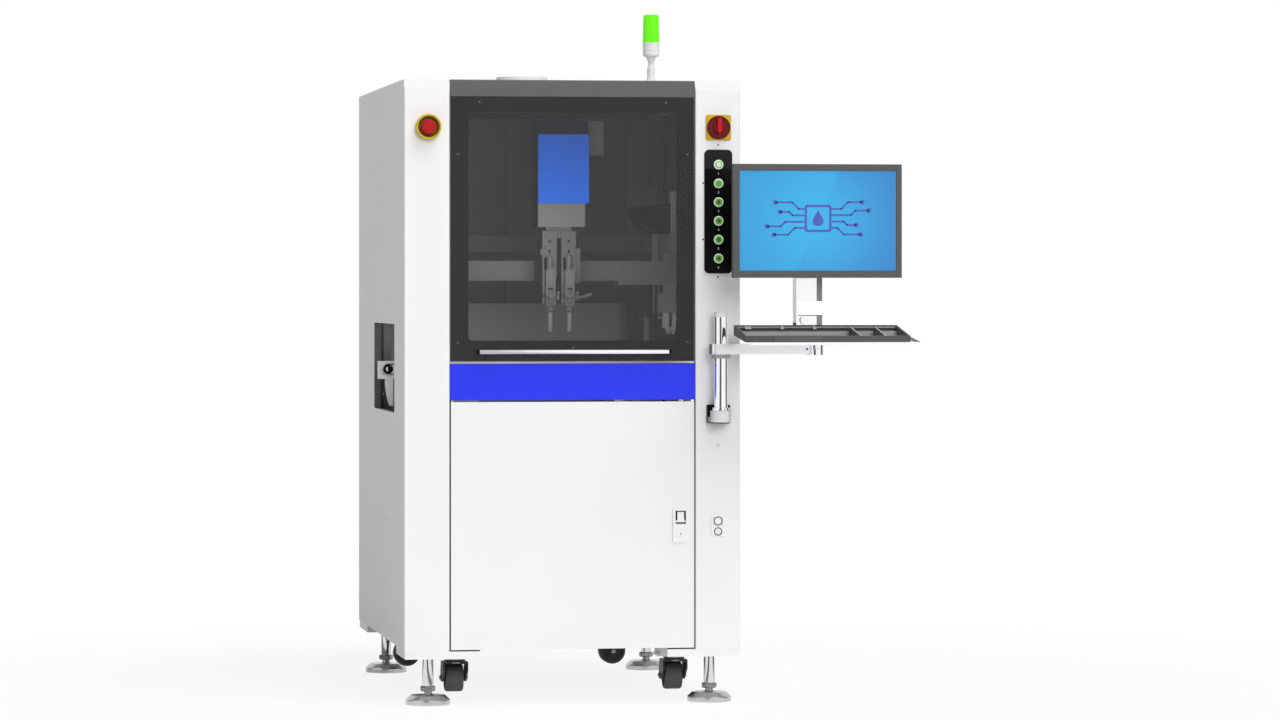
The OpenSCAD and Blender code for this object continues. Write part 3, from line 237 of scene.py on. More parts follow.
def newFinish(name, colour, rough, shine=0.5, **sockets):
    paint = bpy.data.materials.new(name)
    paint.use_nodes = True
    tree = paint.node_tree
    shader = tree.nodes["Principled BSDF"]
    shader.inputs["Base Color"].default_value = (*colour, 1)
    shader.inputs["Roughness"].default_value = rough
    shader.inputs["Specular IOR Level"].default_value = shine
    for key, value in sockets.items():
        shader.inputs[key].default_value = value
    paint.diffuse_color = (*colour, 1)
    return paint, tree, shader


def spots(tree, scale, detail=2.0, stretch=(1, 1, 1)):
    # soft random pattern on the piece's own coordinates
    turn = addNode(tree, "Mapping", {"Vector": placeNode(tree), "Scale": stretch})
    noise = addNode(tree, "TexNoise", {"Vector": turn.outputs[0], "Scale": scale, "Detail": detail})
    return noise.outputs["Fac"]


def shadeBy(tree, shader, fac, colour, spread):
    dark, light = ([min(1.0, c * share) for c in colour] for share in (1 - spread, 1 + spread))
    tree.links.new(blendNode(tree, fac, (*dark, 1), (*light, 1)), shader.inputs["Base Color"])


def roughBy(tree, shader, fac, low, high):
    tree.links.new(spanNode(tree, fac, target=(low, high)), shader.inputs["Roughness"])


def bumpBy(tree, shader, fac, strength, depth=0.0002):
    bump = addNode(tree, "Bump", {"Height": fac, "Strength": strength, "Distance": depth})
    tree.links.new(bump.outputs[0], shader.inputs["Normal"])


def powderCoat(name, colour, rough=0.42, spread=0.03):
    # sprayed and baked paint: faint clouds of shade over a fine orange peel
    paint, tree, shader = newFinish(name, colour, rough, 0.4)
    shadeBy(tree, shader, spots(tree, 2.2), colour, spread)
    grain = spots(tree, 620.0, 1.0)
    roughBy(tree, shader, grain, rough - 0.06, rough + 0.06)
    bumpBy(tree, shader, grain, 0.10)
    return paint


def mouldedPlastic(name, colour, rough=0.5, grain=0.25, size=900.0, shine=0.5):
    # spark-eroded mould texture: close, shallow pits
    paint, tree, shader = newFinish(name, colour, rough, shine)
    shadeBy(tree, shader, spots(tree, 6.0), colour, 0.05)
    pits = spots(tree, size, 3.0)
    roughBy(tree, shader, pits, rough - 0.08, rough + 0.08)
    bumpBy(tree, shader, pits, grain)
    return paint


def workedMetal(name, colour, rough=0.3, along=(1, 1, 1), marks=0.08, bare=1.0, sway=0.08):
    # metal with tool marks drawn out along one direction; bare is 1 without an oxide or clear
    # coat, and sway is how far the gloss wanders
    paint, tree, shader = newFinish(name, colour, rough, Metallic=bare)
    lines = spots(tree, 160.0, 3.0, along)
    shadeBy(tree, shader, lines, colour, 0.06)
    roughBy(tree, shader, lines, max(0.02, rough - sway), rough + sway)
    bumpBy(tree, shader, lines, marks)
    return paint


def clearSheet(name, colour, alpha, rough=0.06):
    # tinted acrylic: see-through, with a faint waviness in its gloss
    paint, tree, shader = newFinish(name, colour, rough, Alpha=alpha)
    wave = spots(tree, 3.0)
    roughBy(tree, shader, wave, rough - 0.02, rough + 0.03)
    bumpBy(tree, shader, wave, 0.02, 0.002)
    return paint


def glowingPlastic(name, colour, glow, rough=0.3):
    paint, tree, shader = newFinish(name, colour, rough)
    shader.inputs["Emission Color"].default_value = (*colour, 1)
    shader.inputs["Emission Strength"].default_value = glow
    bumpBy(tree, shader, spots(tree, 300.0), 0.05)
    return paint


screen = dict(
    # the left blue is lighter than the right by a painted glare
    left=(0.042, 0.315, 0.640), right=(0.042, 0.232, 0.560), glow=(0.050, 0.440, 0.790),
    edge=(0.363, 0.275),  # where the darker half starts at the foot, as a share of the width, and its lean
    glowSize=0.62,  # reach of the light middle, as a share of the width
    glowShare=0.9,
)


def screenPicture():
    # a lit panel in two plain blues that meet on a leaning line, the left one lighter by a painted glare, and lighter
    # towards its middle
    paint, tree, shader = newFinish("screenPicture", screen["left"], 0.25, 0.3)
    low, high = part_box("monitor_screen")
    left, right, glow = ((*screen[part], 1) for part in ("left", "right", "glow"))
    place = placeNode(tree)
    parts = addNode(tree, "SeparateXYZ", {0: place}).outputs
    start, lean = screen["edge"]
    across = spanNode(tree, parts["X"], (low.x, high.x), (-start, 1 - start))
    up = spanNode(tree, parts["Z"], (low.z, high.z), (0.0, lean))
    half = spanNode(tree, mathNode(tree, "SUBTRACT", across, up), (-0.002, 0.002))
    centre = ((low.x + high.x) / 2, low.y, (low.z + high.z) / 2)
    away = addNode(tree, "VectorMath", {0: place, 1: centre}, operation="DISTANCE").outputs["Value"]
    near = spanNode(tree, away, (0.0, (high.x - low.x) * screen["glowSize"]), (screen["glowShare"], 0.0),
                    interpolation_type="SMOOTHSTEP")
    lit = blendNode(tree, near, blendNode(tree, half, left, right), glow)
    tree.links.new(blendNode(tree, 0.5, lit, (0, 0, 0, 1)), shader.inputs["Base Color"])
    tree.links.new(lit, shader.inputs["Emission Color"])
    shader.inputs["Emission Strength"].default_value = 0.5
    bumpBy(tree, shader, spots(tree, 1500.0, 1.0), 0.05, 0.0001)
    return paint


white = powderCoat("whitePowderCoat", (0.755, 0.755, 0.76))
# a slightly darker copy of the white coat for the side and rear panels and the control cabinet: painted shade
sideShadedWhite = powderCoat("sidePanelShadedCoat", (0.70, 0.70, 0.705))
chamberGrey = powderCoat("chamberGrey", (0.12, 0.12, 0.122), rough=0.5)
framePaint = powderCoat("framePaint", (0.075, 0.075, 0.077))
bluePaint = powderCoat("bluePaint", (0.014, 0.030, 0.74), rough=0.35, spread=0.02)
coverBlue = powderCoat("headCoverBlue", (0.004, 0.113, 0.62), rough=0.5, spread=0.02)
# near-black navy for faces of the head cover and slide that light doesn't reach: painted shade
paintedCoverShade = mouldedPlastic("headCoverShade", (0.006, 0.008, 0.020), rough=0.6, grain=0.04, shine=0.1)
valveBoxGrey = powderCoat("valveBoxGrey", (0.20, 0.20, 0.202), rough=0.5)
fittingGrey = powderCoat("fittingGrey", (0.42, 0.42, 0.425), rough=0.4)
railGrey = powderCoat("railGrey", (0.84, 0.84, 0.845), rough=0.4)
drumGrey = workedMetal("drumSteel", (0.62, 0.62, 0.625), rough=0.4, bare=0.2)
darkPaint = powderCoat("hoodGrey", (0.092, 0.092, 0.094), rough=0.42, spread=0.04)
blackPaint = powderCoat("blackCoat", (0.018, 0.018, 0.019), rough=0.45)
yellowPlastic = mouldedPlastic("yellowPlastic", (0.57, 0.37, 0.010), rough=0.4, grain=0.1)
stopRed = mouldedPlastic("stopRed", (0.38, 0.008, 0.009), rough=0.35, grain=0.06, shine=0.25)
redPlastic = mouldedPlastic("redPlastic", (0.50, 0.010, 0.012), rough=0.35, grain=0.06, shine=0.25)
darkPlastic = mouldedPlastic("darkPlastic", (0.070, 0.070, 0.070), rough=0.45)
trayPlastic = mouldedPlastic("trayPlastic", (0.066, 0.066, 0.067), rough=0.5, grain=0.35, size=700.0)
# lighter copies of the tray plastic for its lit floor and ledge and the lit tops of its dividers and tabs: painted
# light
trayFloor = mouldedPlastic("trayFloor", (0.33, 0.33, 0.332), rough=0.5, grain=0.35, size=700.0)
trayEdge = mouldedPlastic("trayEdge", (0.45, 0.45, 0.455), rough=0.45, grain=0.2, size=700.0)
# near black: painted shade on the head's back plate and above the tray's ledge, and the dark seams of the back wall,
# the dark lines at the bracket's joins and the beam's dark slanted plate
trayShade = mouldedPlastic("trayShade", (0.034, 0.034, 0.035), rough=0.5, grain=0.3, size=700.0)
greyPlastic = mouldedPlastic("greyPlastic", (0.78, 0.78, 0.785), rough=0.4, grain=0.12)
glossBlack = mouldedPlastic("glossBlack", (0.003, 0.003, 0.003), rough=0.3, grain=0.02, shine=0.08)
rubber = mouldedPlastic("tyreRubber", (0.072, 0.072, 0.072), rough=0.7, grain=0.4, size=500.0)
chrome = workedMetal("polishedSteel", (0.86, 0.86, 0.87), rough=0.09, marks=0.015)
postSteel = workedMetal("postSteel", (0.92, 0.92, 0.93), rough=0.03, marks=0.004, sway=0.01)
stainless = workedMetal("brushedSteel", (0.50, 0.50, 0.51), rough=0.32, along=(1, 1, 14))
aluminium = workedMetal("milledAluminium", (0.50, 0.50, 0.505), rough=0.38, along=(0.08, 1, 1), marks=0.12)
chamberMetal = workedMetal("anodisedAluminium", (0.235, 0.235, 0.238), rough=0.42, along=(0.08, 1, 1), bare=0.4)
blockMetal = workedMetal("blockAluminium", (0.188, 0.188, 0.19), rough=0.42, along=(1, 1, 0.2), bare=0.35)
valveMetal = workedMetal("valveSteel", (0.138, 0.138, 0.140), rough=0.42, along=(1, 1, 6), bare=0.12)
# a lighter copy of the valve steel for the nozzles, to show them as bright as the bodies: painted light
nozzleLitMetal = workedMetal("nozzleSteelPaintedLight", (0.26, 0.26, 0.262), rough=0.5, along=(1, 1, 6), bare=0.05)
plateMetal = workedMetal("plateSteel", (0.105, 0.105, 0.107), rough=0.42, along=(1, 1, 6), bare=0.12)
trayMetal = workedMetal("shadedSteel", (0.36, 0.36, 0.362), rough=0.45, along=(0.1, 1, 1), bare=0.3)
acrylic = clearSheet("smokedAcrylic", (0.060, 0.060, 0.061), 0.26)
lensGreen = glowingPlastic("greenLens", (0.10, 0.62, 0.0), 0.55)
buttonGreen = glowingPlastic("greenButton", (0.085, 0.50, 0.006), 0.16)
# darker olive copy of the yellow: painted shade inside the emergency stop's shroud
shadedYellow = mouldedPlastic("shadedYellowRecess", (0.17, 0.13, 0.028), rough=0.5, grain=0.1)
bossRed = mouldedPlastic("switchBoss", (0.24, 0.008, 0.010), rough=0.4, grain=0.08, shine=0.2)
darkRedPlastic = mouldedPlastic("switchDisc", (0.13, 0.010, 0.011), rough=0.4, grain=0.08, shine=0.2)
buttonGlow = glowingPlastic("litButtonRing", (0.20, 0.58, 0.085), 0.15)
buttonWhite = glowingPlastic("litButtonHeart", (0.70, 0.70, 0.71), 0.12)
buttonGrey = mouldedPlastic("buttonHeart", (0.22, 0.22, 0.22), rough=0.35, grain=0.05)
buttonShade = mouldedPlastic("buttonShade", (0.095, 0.093, 0.095), rough=0.35, grain=0.05)
bezelMetal = workedMetal("bezelMetal", (0.98, 0.98, 0.98), rough=0.22, marks=0.03, bare=0.0)
# a lighter black: the painted reflection on the button panel's top field, and the window's printed border
printAndSheenBlack = mouldedPlastic("sheenAndPrintField", (0.016, 0.016, 0.016), rough=0.4, grain=0.02, shine=0.1)
printWhite = mouldedPlastic("printWhite", (0.75, 0.75, 0.75), rough=0.5, grain=0.05)
# near black: painted shade in bores, holes, key slots, wells, vents and the door's gaps, and the black of the belts,
# the cable chain's cover and the hood's inside
shadeAndBlackPlastic = mouldedPlastic("shadeAndBlackPlastic", (0.006, 0.006, 0.006), rough=0.6, grain=0.04, shine=0.1)
greyPaint = powderCoat("blockPaint", (0.72, 0.72, 0.73), rough=0.4)
collarGrey = powderCoat("collarGrey", (0.32, 0.32, 0.33), rough=0.4)
monitorGrey = mouldedPlastic("monitorGrey", (0.075, 0.075, 0.077), rough=0.42, grain=0.18, size=800.0)
turnedSteel = workedMetal("turnedSteel", (0.74, 0.74, 0.75), rough=0.08, along=(1, 1, 10), marks=0.02, sway=0.03)
padSteel = workedMetal("padSteel", (0.61, 0.61, 0.615), rough=0.26, along=(1, 1, 10), marks=0.03, sway=0.04)
nutSteel = workedMetal("nutSteel", (0.28, 0.28, 0.285), rough=0.25, marks=0.05)
barAluminium = workedMetal("barAluminium", (0.93, 0.93, 0.94), rough=0.24, along=(0.06, 1, 1), marks=0.06,
                           bare=0.7)
armMetal = workedMetal("armAluminium", (0.97, 0.97, 0.975), rough=0.3, along=(0.06, 1, 1), marks=0.03, bare=0.75)
sleeveMetal = workedMetal("sleeveAluminium", (0.99, 0.99, 0.99), rough=0.08, along=(1, 1, 0.06), marks=0.01,
                          bare=0.95, sway=0.02)
# grey copy of the sleeve's metal: painted shade down the bracket's rounded right side
sleevePaintedShade = workedMetal("sleevePaintedShade", (0.30, 0.30, 0.303), rough=0.35, along=(1, 1, 0.06), marks=0.03,
                          bare=0.2)
screenBlue = screenPicture()
screenIndigo = glowingPlastic("screenIndigo", (0.048, 0.078, 0.330), 0.25)
print("finishes are mixed")

cadFinish = {
    white: "front_columns base_pan lower_door roof_panel latch_housing latch_paddle",
    greyPaint: "exhaust_collar",
    armMetal: "swing_arm",
    sleeveMetal: "monitor_bracket",
    sideShadedWhite: "left_side_panel right_side_panel rear_panels control_cabinet",
    chamberMetal: "gantry_beam purge_station",
    blockMetal: "z_slide",
    chamberGrey: "y_axes",
    railGrey: "rear_rail conveyor_frame",
    valveMetal: "spray_valves",
    trayMetal: "drip_tray",
    framePaint: "frame_posts frame_rails",
    bluePaint: "blue_fascia",
    coverBlue: "head_cover",
    darkPaint: "hood_shell",
    acrylic: "hood_window",
    aluminium: "deck_plate",
    stainless: "fluid_tanks drive_shaft rear_pulley levelling_feet service_sockets",
    chrome: "hood_handle monitor_post stop_collar",
    yellowPlastic: "estop_guard switch_plate",
    redPlastic: "estop_button switch_knob",
    glossBlack: "button_panel",
    buttonGreen: " ".join(f"push_button_{i}" for i in range(1, 7)),
    lensGreen: "lamp_lens",
    greyPlastic: "lamp_pole",
    darkPlastic: "monitor_body",
    trayPlastic: "keyboard_tray",
    screenBlue: "monitor_screen",
    rubber: " ".join(f"caster_wheel_{a}_{b}" for a in ("front", "rear") for b in ("left", "right")),
    blackPaint: " ".join(f"caster_fork_{a}_{b}" for a in ("front", "rear") for b in ("left", "right")),
}
finishOf = {name: paint for paint, names in cadFinish.items() for name in names.split()}
bodyOf = {name: body for body, names in frame["record"]["behaviour"]["bodies"].items() for name in names}
for name, node in frame["nodes"].items():
    for place in node.material_slots:
        place.material = finishOf[name]
    if not node.material_slots:
        node.data.materials.append(finishOf[name])


# Rounded copies of the sheet metal and machined pieces

sharpTurn = math.radians(32)  # edges that turn more than this stay sharp
flatTurn = math.radians(0.6)  # neighbours that turn less than this become one face


def tidyMesh(mesh):
    # joins the loose triangles and melts flat neighbours into one face
    made = bmesh.new()
    made.from_mesh(mesh)
    bmesh.ops.remove_doubles(made, verts=made.verts, dist=2e-6)
    bmesh.ops.dissolve_limit(made, angle_limit=flatTurn, verts=made.verts, edges=made.edges)
    for face in made.faces:
        face.smooth = True
    for edge in made.edges:
        edge.smooth = len(edge.link_faces) != 2 or edge.calc_face_angle(0) < sharpTurn
    made.to_mesh(mesh)
    made.free()


def inBox(p, x, y, z):
    return x[0] < p[0] < x[1] and y[0] < p[1] < y[1] and z[0] < p[2] < z[1]


def inSlot(p):
    # the lining of the board slots in the side panels
    return abs(p[0]) < 449.9 and -386 < p[1] < 186 and 766 < p[2] < 1015


def hoodInside(p, n):
    # all but the hood's outer faces
    return not (abs(p[0]) > 328.3 or p[1] < -635.5 or p[2] > 1613 and (n[2] > 0.3 or n[1] < -0.5))


def valveBox(p, n):
    # the valve box on the beam, and the right end of the cable chain's cover
    return inBox(p, (332, 383), (10, 61), (1036, 1128)) or p[0] > 369 and p[2] > 1257


def railFaces(belt):
    # belt, toothed idler and hub bore of a conveyor rail whose belt lies between two depths; the bore's faces are
    # painted black as shade
    def fromLoop(p):
        return math.hypot(max(abs(p[0]) - 418, 0), p[2] - 881)

    def isDrum(p, n):
        return abs(p[0]) > 404 and 7.6 < fromLoop(p) < 13.1 and belt[0] - 2 < p[1] < belt[1] + 2.1

    def isBelt(p, n):
        flat = abs(n[1]) > 0.5 and min(abs(p[1] - belt[0]), abs(p[1] - belt[1])) < 0.1
        return flat or belt[0] - 0.1 < p[1] < belt[1] + 0.1 and 13.1 < fromLoop(p) < 14.8

    def isBore(p, n):
        return abs(p[0]) > 415 and fromLoop(p) < 2.6 and belt[0] - 6 < p[1] < belt[1] + 6

    return [(drumGrey, isDrum), (shadeAndBlackPlastic, isBelt), (shadeAndBlackPlastic, isBore)]


# faces that have another finish than the rest of their piece, by a face's middle and direction
otherFaces = dict(
    rear_panels=[(chamberGrey, lambda p, n: p[1] < 600)],
    left_side_panel=[(chamberGrey, lambda p, n: n[0] > 0.5 or inSlot(p))],
    right_side_panel=[(chamberGrey, lambda p, n: n[0] < -0.5 or inSlot(p))],
    hood_shell=[(shadeAndBlackPlastic, hoodInside)],
    # painted shade on the head cover's left side and sloped top
    head_cover=[(paintedCoverShade, lambda p, n: n[0] < -0.5 or n[1] < -0.3 and n[2] > 0.3),
                # painted shade on the back plate behind the valves
                (trayShade, lambda p, n: p[1] > -30.5 and p[0] < 112),
                (chamberMetal, lambda p, n: p[0] > 112.3)],
    # painted shade on the slide's left side and on its parts below the block
    z_slide=[(paintedCoverShade, lambda p, n: n[0] < -0.5 or p[2] < 1274),
             (plateMetal, lambda p, n: inBox(p, (-26, 88), (-155, -137), (1118, 1265)))],
    gantry_beam=[(shadeAndBlackPlastic, lambda p, n: inBox(p, (243, 369), (18, 61), (1257, 1400))),
                 (trayShade, lambda p, n: inBox(p, (243, 328), (13, 24.1), (1328, 1400))),
                 (valveBoxGrey, valveBox),
                 (fittingGrey, lambda p, n: inBox(p, (332, 383), (-1, 61), (970, 1037.5)))],
    conveyor_frame=railFaces((-343, -336)),
    rear_rail=railFaces((99, 106)),
    monitor_bracket=[(trayPlastic, lambda p, n: p[0] > 859 and n[2] > 0.5 and p[2] < 990),
                     (collarGrey, lambda p, n: p[0] < 587 and abs(n[1]) > 0.5 and 968 < p[2] < 1311)],
)


def placePiece(name, mesh, replaces=None, body=None, width=0.0, segments=2):
    # a piece that replaces a node takes its body, and the node is hidden; width is how far its edges are
    # rounded, in mm
    piece = addObject(name, mesh)
    if width:
        bevel = piece.modifiers.new("edges", "BEVEL")
        bevel.width = width * 0.001
        bevel.segments = segments
        bevel.limit_method = "ANGLE"
        bevel.angle_limit = sharpTurn
        bevel.harden_normals = True
    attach(piece, body or bodyOf[replaces])
    if replaces:
        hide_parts(replaces)


def roundedCopy(name, node, width, segments=2):
    mesh = frame["nodes"][node].data.copy()
    mesh.name = name
    tidyMesh(mesh)
    mesh.materials.clear()
    mesh.materials.append(finishOf[node])
    for number, (paint, test) in enumerate(otherFaces.get(node, ()), 1):
        mesh.materials.append(paint)
        for face in mesh.polygons:
            if test(fromFrame(face.center), face.normal):
                face.material_index = number
    placePiece(name, mesh, node, width=width, segments=segments)


edgeWidths = dict(
    front_columns=0.7, lower_door=0.7, blue_fascia=0.7, left_side_panel=0.7, right_side_panel=0.7,
    roof_panel=0.5, rear_panels=0.5, base_pan=0.6, hood_shell=0.6, hood_window=0.8,
    monitor_bracket=0.8, gantry_beam=0.5, head_cover=0.9,
    z_slide=0.8, conveyor_frame=0.5, rear_rail=0.5, y_axes=1.0, deck_plate=1.0, drip_tray=0.6,
    purge_station=0.8, frame_posts=2.5, frame_rails=2.5, control_cabinet=1.5,
)
for node, width in edgeWidths.items():
    first, *others = node.split("_")
    roundedCopy(first + "".join(word.capitalize() for word in others), node, width)
print("rounded copies are made")


# Surfaces worked out on grids

def outlineArc(centre, radius, start, end, steps):
    # points on an arc, angles in degrees
    turn = np.radians(np.linspace(start, end, steps))
    return np.stack([centre[0] + radius * np.cos(turn), centre[1] + radius * np.sin(turn)], 1)


def wholeTurn(steps):
    return np.linspace(0, 2 * math.pi, steps, endpoint=False)


def roundedRect(low, high, radius, steps=6):
    # closed outline of a rectangle with arcs at its corners, counter-clockwise
    (x0, y0), (x1, y1) = np.add(low, radius), np.subtract(high, radius)
    corners = ((x1, y1, 0), (x0, y1, 90), (x0, y0, 180), (x1, y0, 270))
    return np.concatenate([outlineArc((x, y), radius, start, start + 90, steps) for x, y, start in corners])


def softened(points, radius, steps=4):
    # open profile whose inner corners become arcs: each is a curve that starts and ends
    # a radius away from the corner, point = (1-t)^2 a + 2t(1-t) corner + t^2 b
    points = np.asarray(points, float)
    rows = [points[:1]]
    t = np.linspace(0, 1, steps + 1)[:, None]
    for before, corner, after in zip(points[:-2], points[1:-1], points[2:]):
        back, ahead = before - corner, after - corner
        reach = min(radius, np.linalg.norm(back) * 0.48, np.linalg.norm(ahead) * 0.48)
        a = corner + back / np.linalg.norm(back) * reach
        b = corner + ahead / np.linalg.norm(ahead) * reach
        rows.append((1 - t) ** 2 * a + 2 * t * (1 - t) * corner + t ** 2 * b)
    rows.append(points[-1:])
    return np.concatenate(rows)


def softenedLoop(points, radius, steps=4):
    # closed profile with its corners drawn as arcs
    points = np.asarray(points, float)
    start = (points[0] + points[-1]) / 2
    return softened(np.concatenate([[start], points, [start]]), radius, steps)[:-1]


def rod(radius, low, high):
    # profile of a plain round bar
    return [(0, low), (radius, low), (radius, high), (0, high)]


def upright(points, y):
    # flat points stood up at a depth
    return np.stack([points[..., 0], np.broadcast_to(y, points.shape[:-1]), points[..., 1]], -1)


def skin(grid, closed=False, number=0):
    # points, faces and paint number of a grid whose columns run round; closed joins its last row
    # to its first, and without it the end rows are capped
    rows, columns = grid.shape[:2]
    index = np.arange(rows * columns).reshape(rows, columns)
    ends = [] if closed else [index[0].tolist(), index[-1][::-1].tolist()]
    index = np.hstack([index, index[:, :1]])
    if closed:
        index = np.vstack([index, index[:1]])
    quads = np.stack([index[:-1, :-1], index[:-1, 1:], index[1:, 1:], index[1:, :-1]], -1).reshape(-1, 4)
    return grid.reshape(-1, 3), quads.tolist() + ends, number


def turnedSkin(profile, centre, axis="z", segments=48, soft=0.0, number=0):
    # profile of (radius, height) pairs spun about an axis: x = r cos a, y = r sin a, z = h; one
    # that starts and ends off the axis is closed into a ring, and soft rounds its corners
    profile = np.asarray(profile, float)
    ring = min(profile[0, 0], profile[-1, 0]) > 0
    if soft:
        profile = (softenedLoop if ring else softened)(profile, soft)
    turn = wholeTurn(segments)
    r, h = profile[:, 0, None], profile[:, 1, None] + 0 * turn
    a, b = r * np.cos(turn), r * np.sin(turn)
    order = {"z": (a, b, h), "x": (h, a, b), "y": (b, h, a), "-y": (a, -h, b), "-x": (-h, b, a)}[axis]
    return skin(np.stack(order, -1) + np.asarray(centre, float), ring, number)


def slabSkin(outline, low, high, rim=0.0, axis="z", steps=3, number=0):
    # outline carried from low to high, drawn in along a quarter circle at both rims
    outline = np.asarray(outline, float)
    ahead = np.roll(outline, -1, 0) - np.roll(outline, 1, 0)
    normal = np.stack([ahead[:, 1], -ahead[:, 0]], 1)
    normal /= np.linalg.norm(normal, axis=1)[:, None] + 1e-12
    t = np.linspace(0, math.pi / 2, steps + 1)
    inset = np.concatenate([rim * (1 - np.sin(t)), rim * (1 - np.cos(t))])
    level = np.concatenate([low + rim * (1 - np.cos(t)), high - rim + rim * np.sin(t)])
    if rim == 0:
        inset, level = np.zeros(2), np.array([low, high])
    flat = outline[None] - inset[:, None, None] * normal[None]
    up = np.broadcast_to(level[:, None], flat.shape[:2])
    u, v = flat[..., 0], flat[..., 1]
    order = {"z": (u, v, up), "y": (u, up, v), "x": (up, u, v)}[axis]
    return skin(np.stack(order, -1), number=number)


def plateSkin(x, y, z, corner, rim=0.0, steps=6):
    # upright plate with rounded corners
    return slabSkin(roundedRect((x[0], z[0]), (x[1], z[1]), corner, steps), *y, rim, "y")


def blockSkin(x, y, z, number=0, rim=0.0):
    # flat sides between two corners
    return slabSkin([(x[0], y[0]), (x[1], y[0]), (x[1], y[1]), (x[0], y[1])], *z, rim, number=number)


def rimSkin(outer, inner, front, back):
    # upright flat band between two outlines
    rows = ((outer, front), (inner, front), (inner, back), (outer, back))
    return skin(np.stack([upright(line, y) for line, y in rows]), True)


def tubeSkin(path, radii, segments):
    # circle carried along a path; its plane stays square to the path's direction
    path = np.asarray(path, float)
    ahead = np.gradient(path, axis=0)
    ahead /= np.linalg.norm(ahead, axis=1)[:, None]
    side = np.zeros_like(ahead)
    guide = np.array([0.0, 0.0, 1.0])
    for i, tangent in enumerate(ahead):
        guide = guide - tangent * (guide @ tangent)
        guide = guide / np.linalg.norm(guide)
        side[i] = guide
    turn = wholeTurn(segments)[None, :, None]
    circle = np.cos(turn) * side[:, None] + np.sin(turn) * np.cross(ahead, side)[:, None]
    return skin(path[:, None] + np.asarray(radii, float)[:, None, None] * circle)


def screwSkin(x, y, z, radius, height, axis="-y", number=0):
    # low domed head with a round socket
    profile = [(0, height * 0.35), (radius * 0.42, height * 0.35), (radius * 0.46, height),
               (radius * 0.75, height * 0.92), (radius * 0.95, height * 0.55), (radius, 0), (0, 0)]
    return turnedSkin(profile, (x, y, z), axis, 20, number=number)


def makePiece(name, skins, paint, body=None, replaces=None, bevel=0.0):
    # paint is one finish, or a list of them in the order of the skins' paint numbers
    made = bmesh.new()
    for points, faces, number in skins:
        verts = [made.verts.new(p) for p in toFrame(points)]
        for face in faces:
            made.faces.new([verts[i] for i in face]).material_index = number
    bmesh.ops.remove_doubles(made, verts=made.verts, dist=1e-6)
    bmesh.ops.dissolve_degenerate(made, edges=made.edges, dist=1e-7)
    bmesh.ops.recalc_face_normals(made, faces=made.faces)
    for face in made.faces:
        face.smooth = True
    for edge in made.edges:
        edge.smooth = len(edge.link_faces) == 2 and edge.calc_face_angle(0) < sharpTurn
    mesh = bpy.data.meshes.new(name)
    made.to_mesh(mesh)
    made.free()
    for each in paint if isinstance(paint, list) else [paint]:
        mesh.materials.append(each)
    placePiece(name, mesh, replaces, body, bevel)


# Emergency stop on the left column

eStop = dict(x=-387, z=1533, face=frontFace, outer=33.5, depth=25, mouth=29.2, throat=22, bore=11.2, cap=20)


def makeEmergencyStop():
    x, z, face, outer, depth, mouth, throat, bore, cap = eStop.values()

    def turned(profile, soft=0.0):
        return [turnedSkin(profile, (x, face, z), "-y", 72, soft)]

    makePiece("estopShroud", turned([(outer, 0), (outer, depth), (mouth, depth), (mouth - 0.6, depth - 4),
                                     (throat + 2, 4), (bore, 4), (bore, 0)], 1.6),
              yellowPlastic, replaces="estop_guard")
    # lining of the shroud's hollow: painted shade of the yellow
    makePiece("estopRecessShade", turned([(mouth - 0.2, depth - 4.5), (throat + 1.4, 4.6), (bore, 4.6), (bore, 4.1),
                                     (throat + 2, 4.1), (mouth + 0.3, depth - 4.6)]),
              shadedYellow, "cabinet")
    makePiece("estopMushroom", turned([(0, -12), (10.9, -12), (10.9, 11), (cap - 1.5, 12.5), (cap, 15),
                                       (cap - 0.4, 21.5), (cap - 4, 23.2), (0, 23.5)], 1.4),
              stopRed, replaces="estop_button")


# Main switch on the right column

mainSwitch = dict(x=391, z=1535, face=frontFace, plate=34, disc=31.4, hub=14.5, gripHalf=5.6, gripUp=25, gripDown=17)


def makeMainSwitch():
    x, z, face, half, disc, hub, wide, up, down = mainSwitch.values()
    plate = plateSkin((x - half, x + half), (face - 4, face - 0.02), (z - half, z + half), 6, 1.2)
    makePiece("switchPlate", [plate], yellowPlastic, replaces="switch_plate")
    disc = [(0, 0.5), (disc - 2, 0.5), (disc, 1.5), (disc, 6), (disc - 1.2, 8.5), (disc - 3.5, 8.5),
            (disc - 4.5, 6.5), (hub + 2, 6.5), (hub, 10.5), (hub - 2, 11), (0, 11)]
    grip = [(-wide, -down * 0.45), (-wide * 0.5, -down * 0.85), (0, -down), (wide * 0.5, -down * 0.85),
            (wide, -down * 0.45), (wide, up - 1), (wide - 1, up), (1 - wide, up), (-wide, up - 1)]
    makePiece("switchHandle", [turnedSkin(disc, (x, face - 4, z), "-y", 72, 0.7),
                               slabSkin(np.add(grip, (x, z)), face - 26, face - 8, 1.2, "y", number=1),
                               turnedSkin(rod(5.9, -9.6, 1), (x, face - 4, z), "-y", 32),
                               turnedSkin(rod(hub - 2.6, 0, 0.3), (x, face - 15, z), "-y", number=2)],
              [darkRedPlastic, redPlastic, bossRed], replaces="switch_knob")


# Button panel with its six lit buttons; header is where the field above them starts, a band made lighter by a painted
# reflection

buttons = dict(x=391, top=1436, pitch=50, face=frontFace, panelX=(353, 428), panelZ=(1146, 1476), corner=13,
               rim=0.8, bezel=13, ring=10.0, core=5.8, numberDrop=24, numberSize=9.0, header=1425)


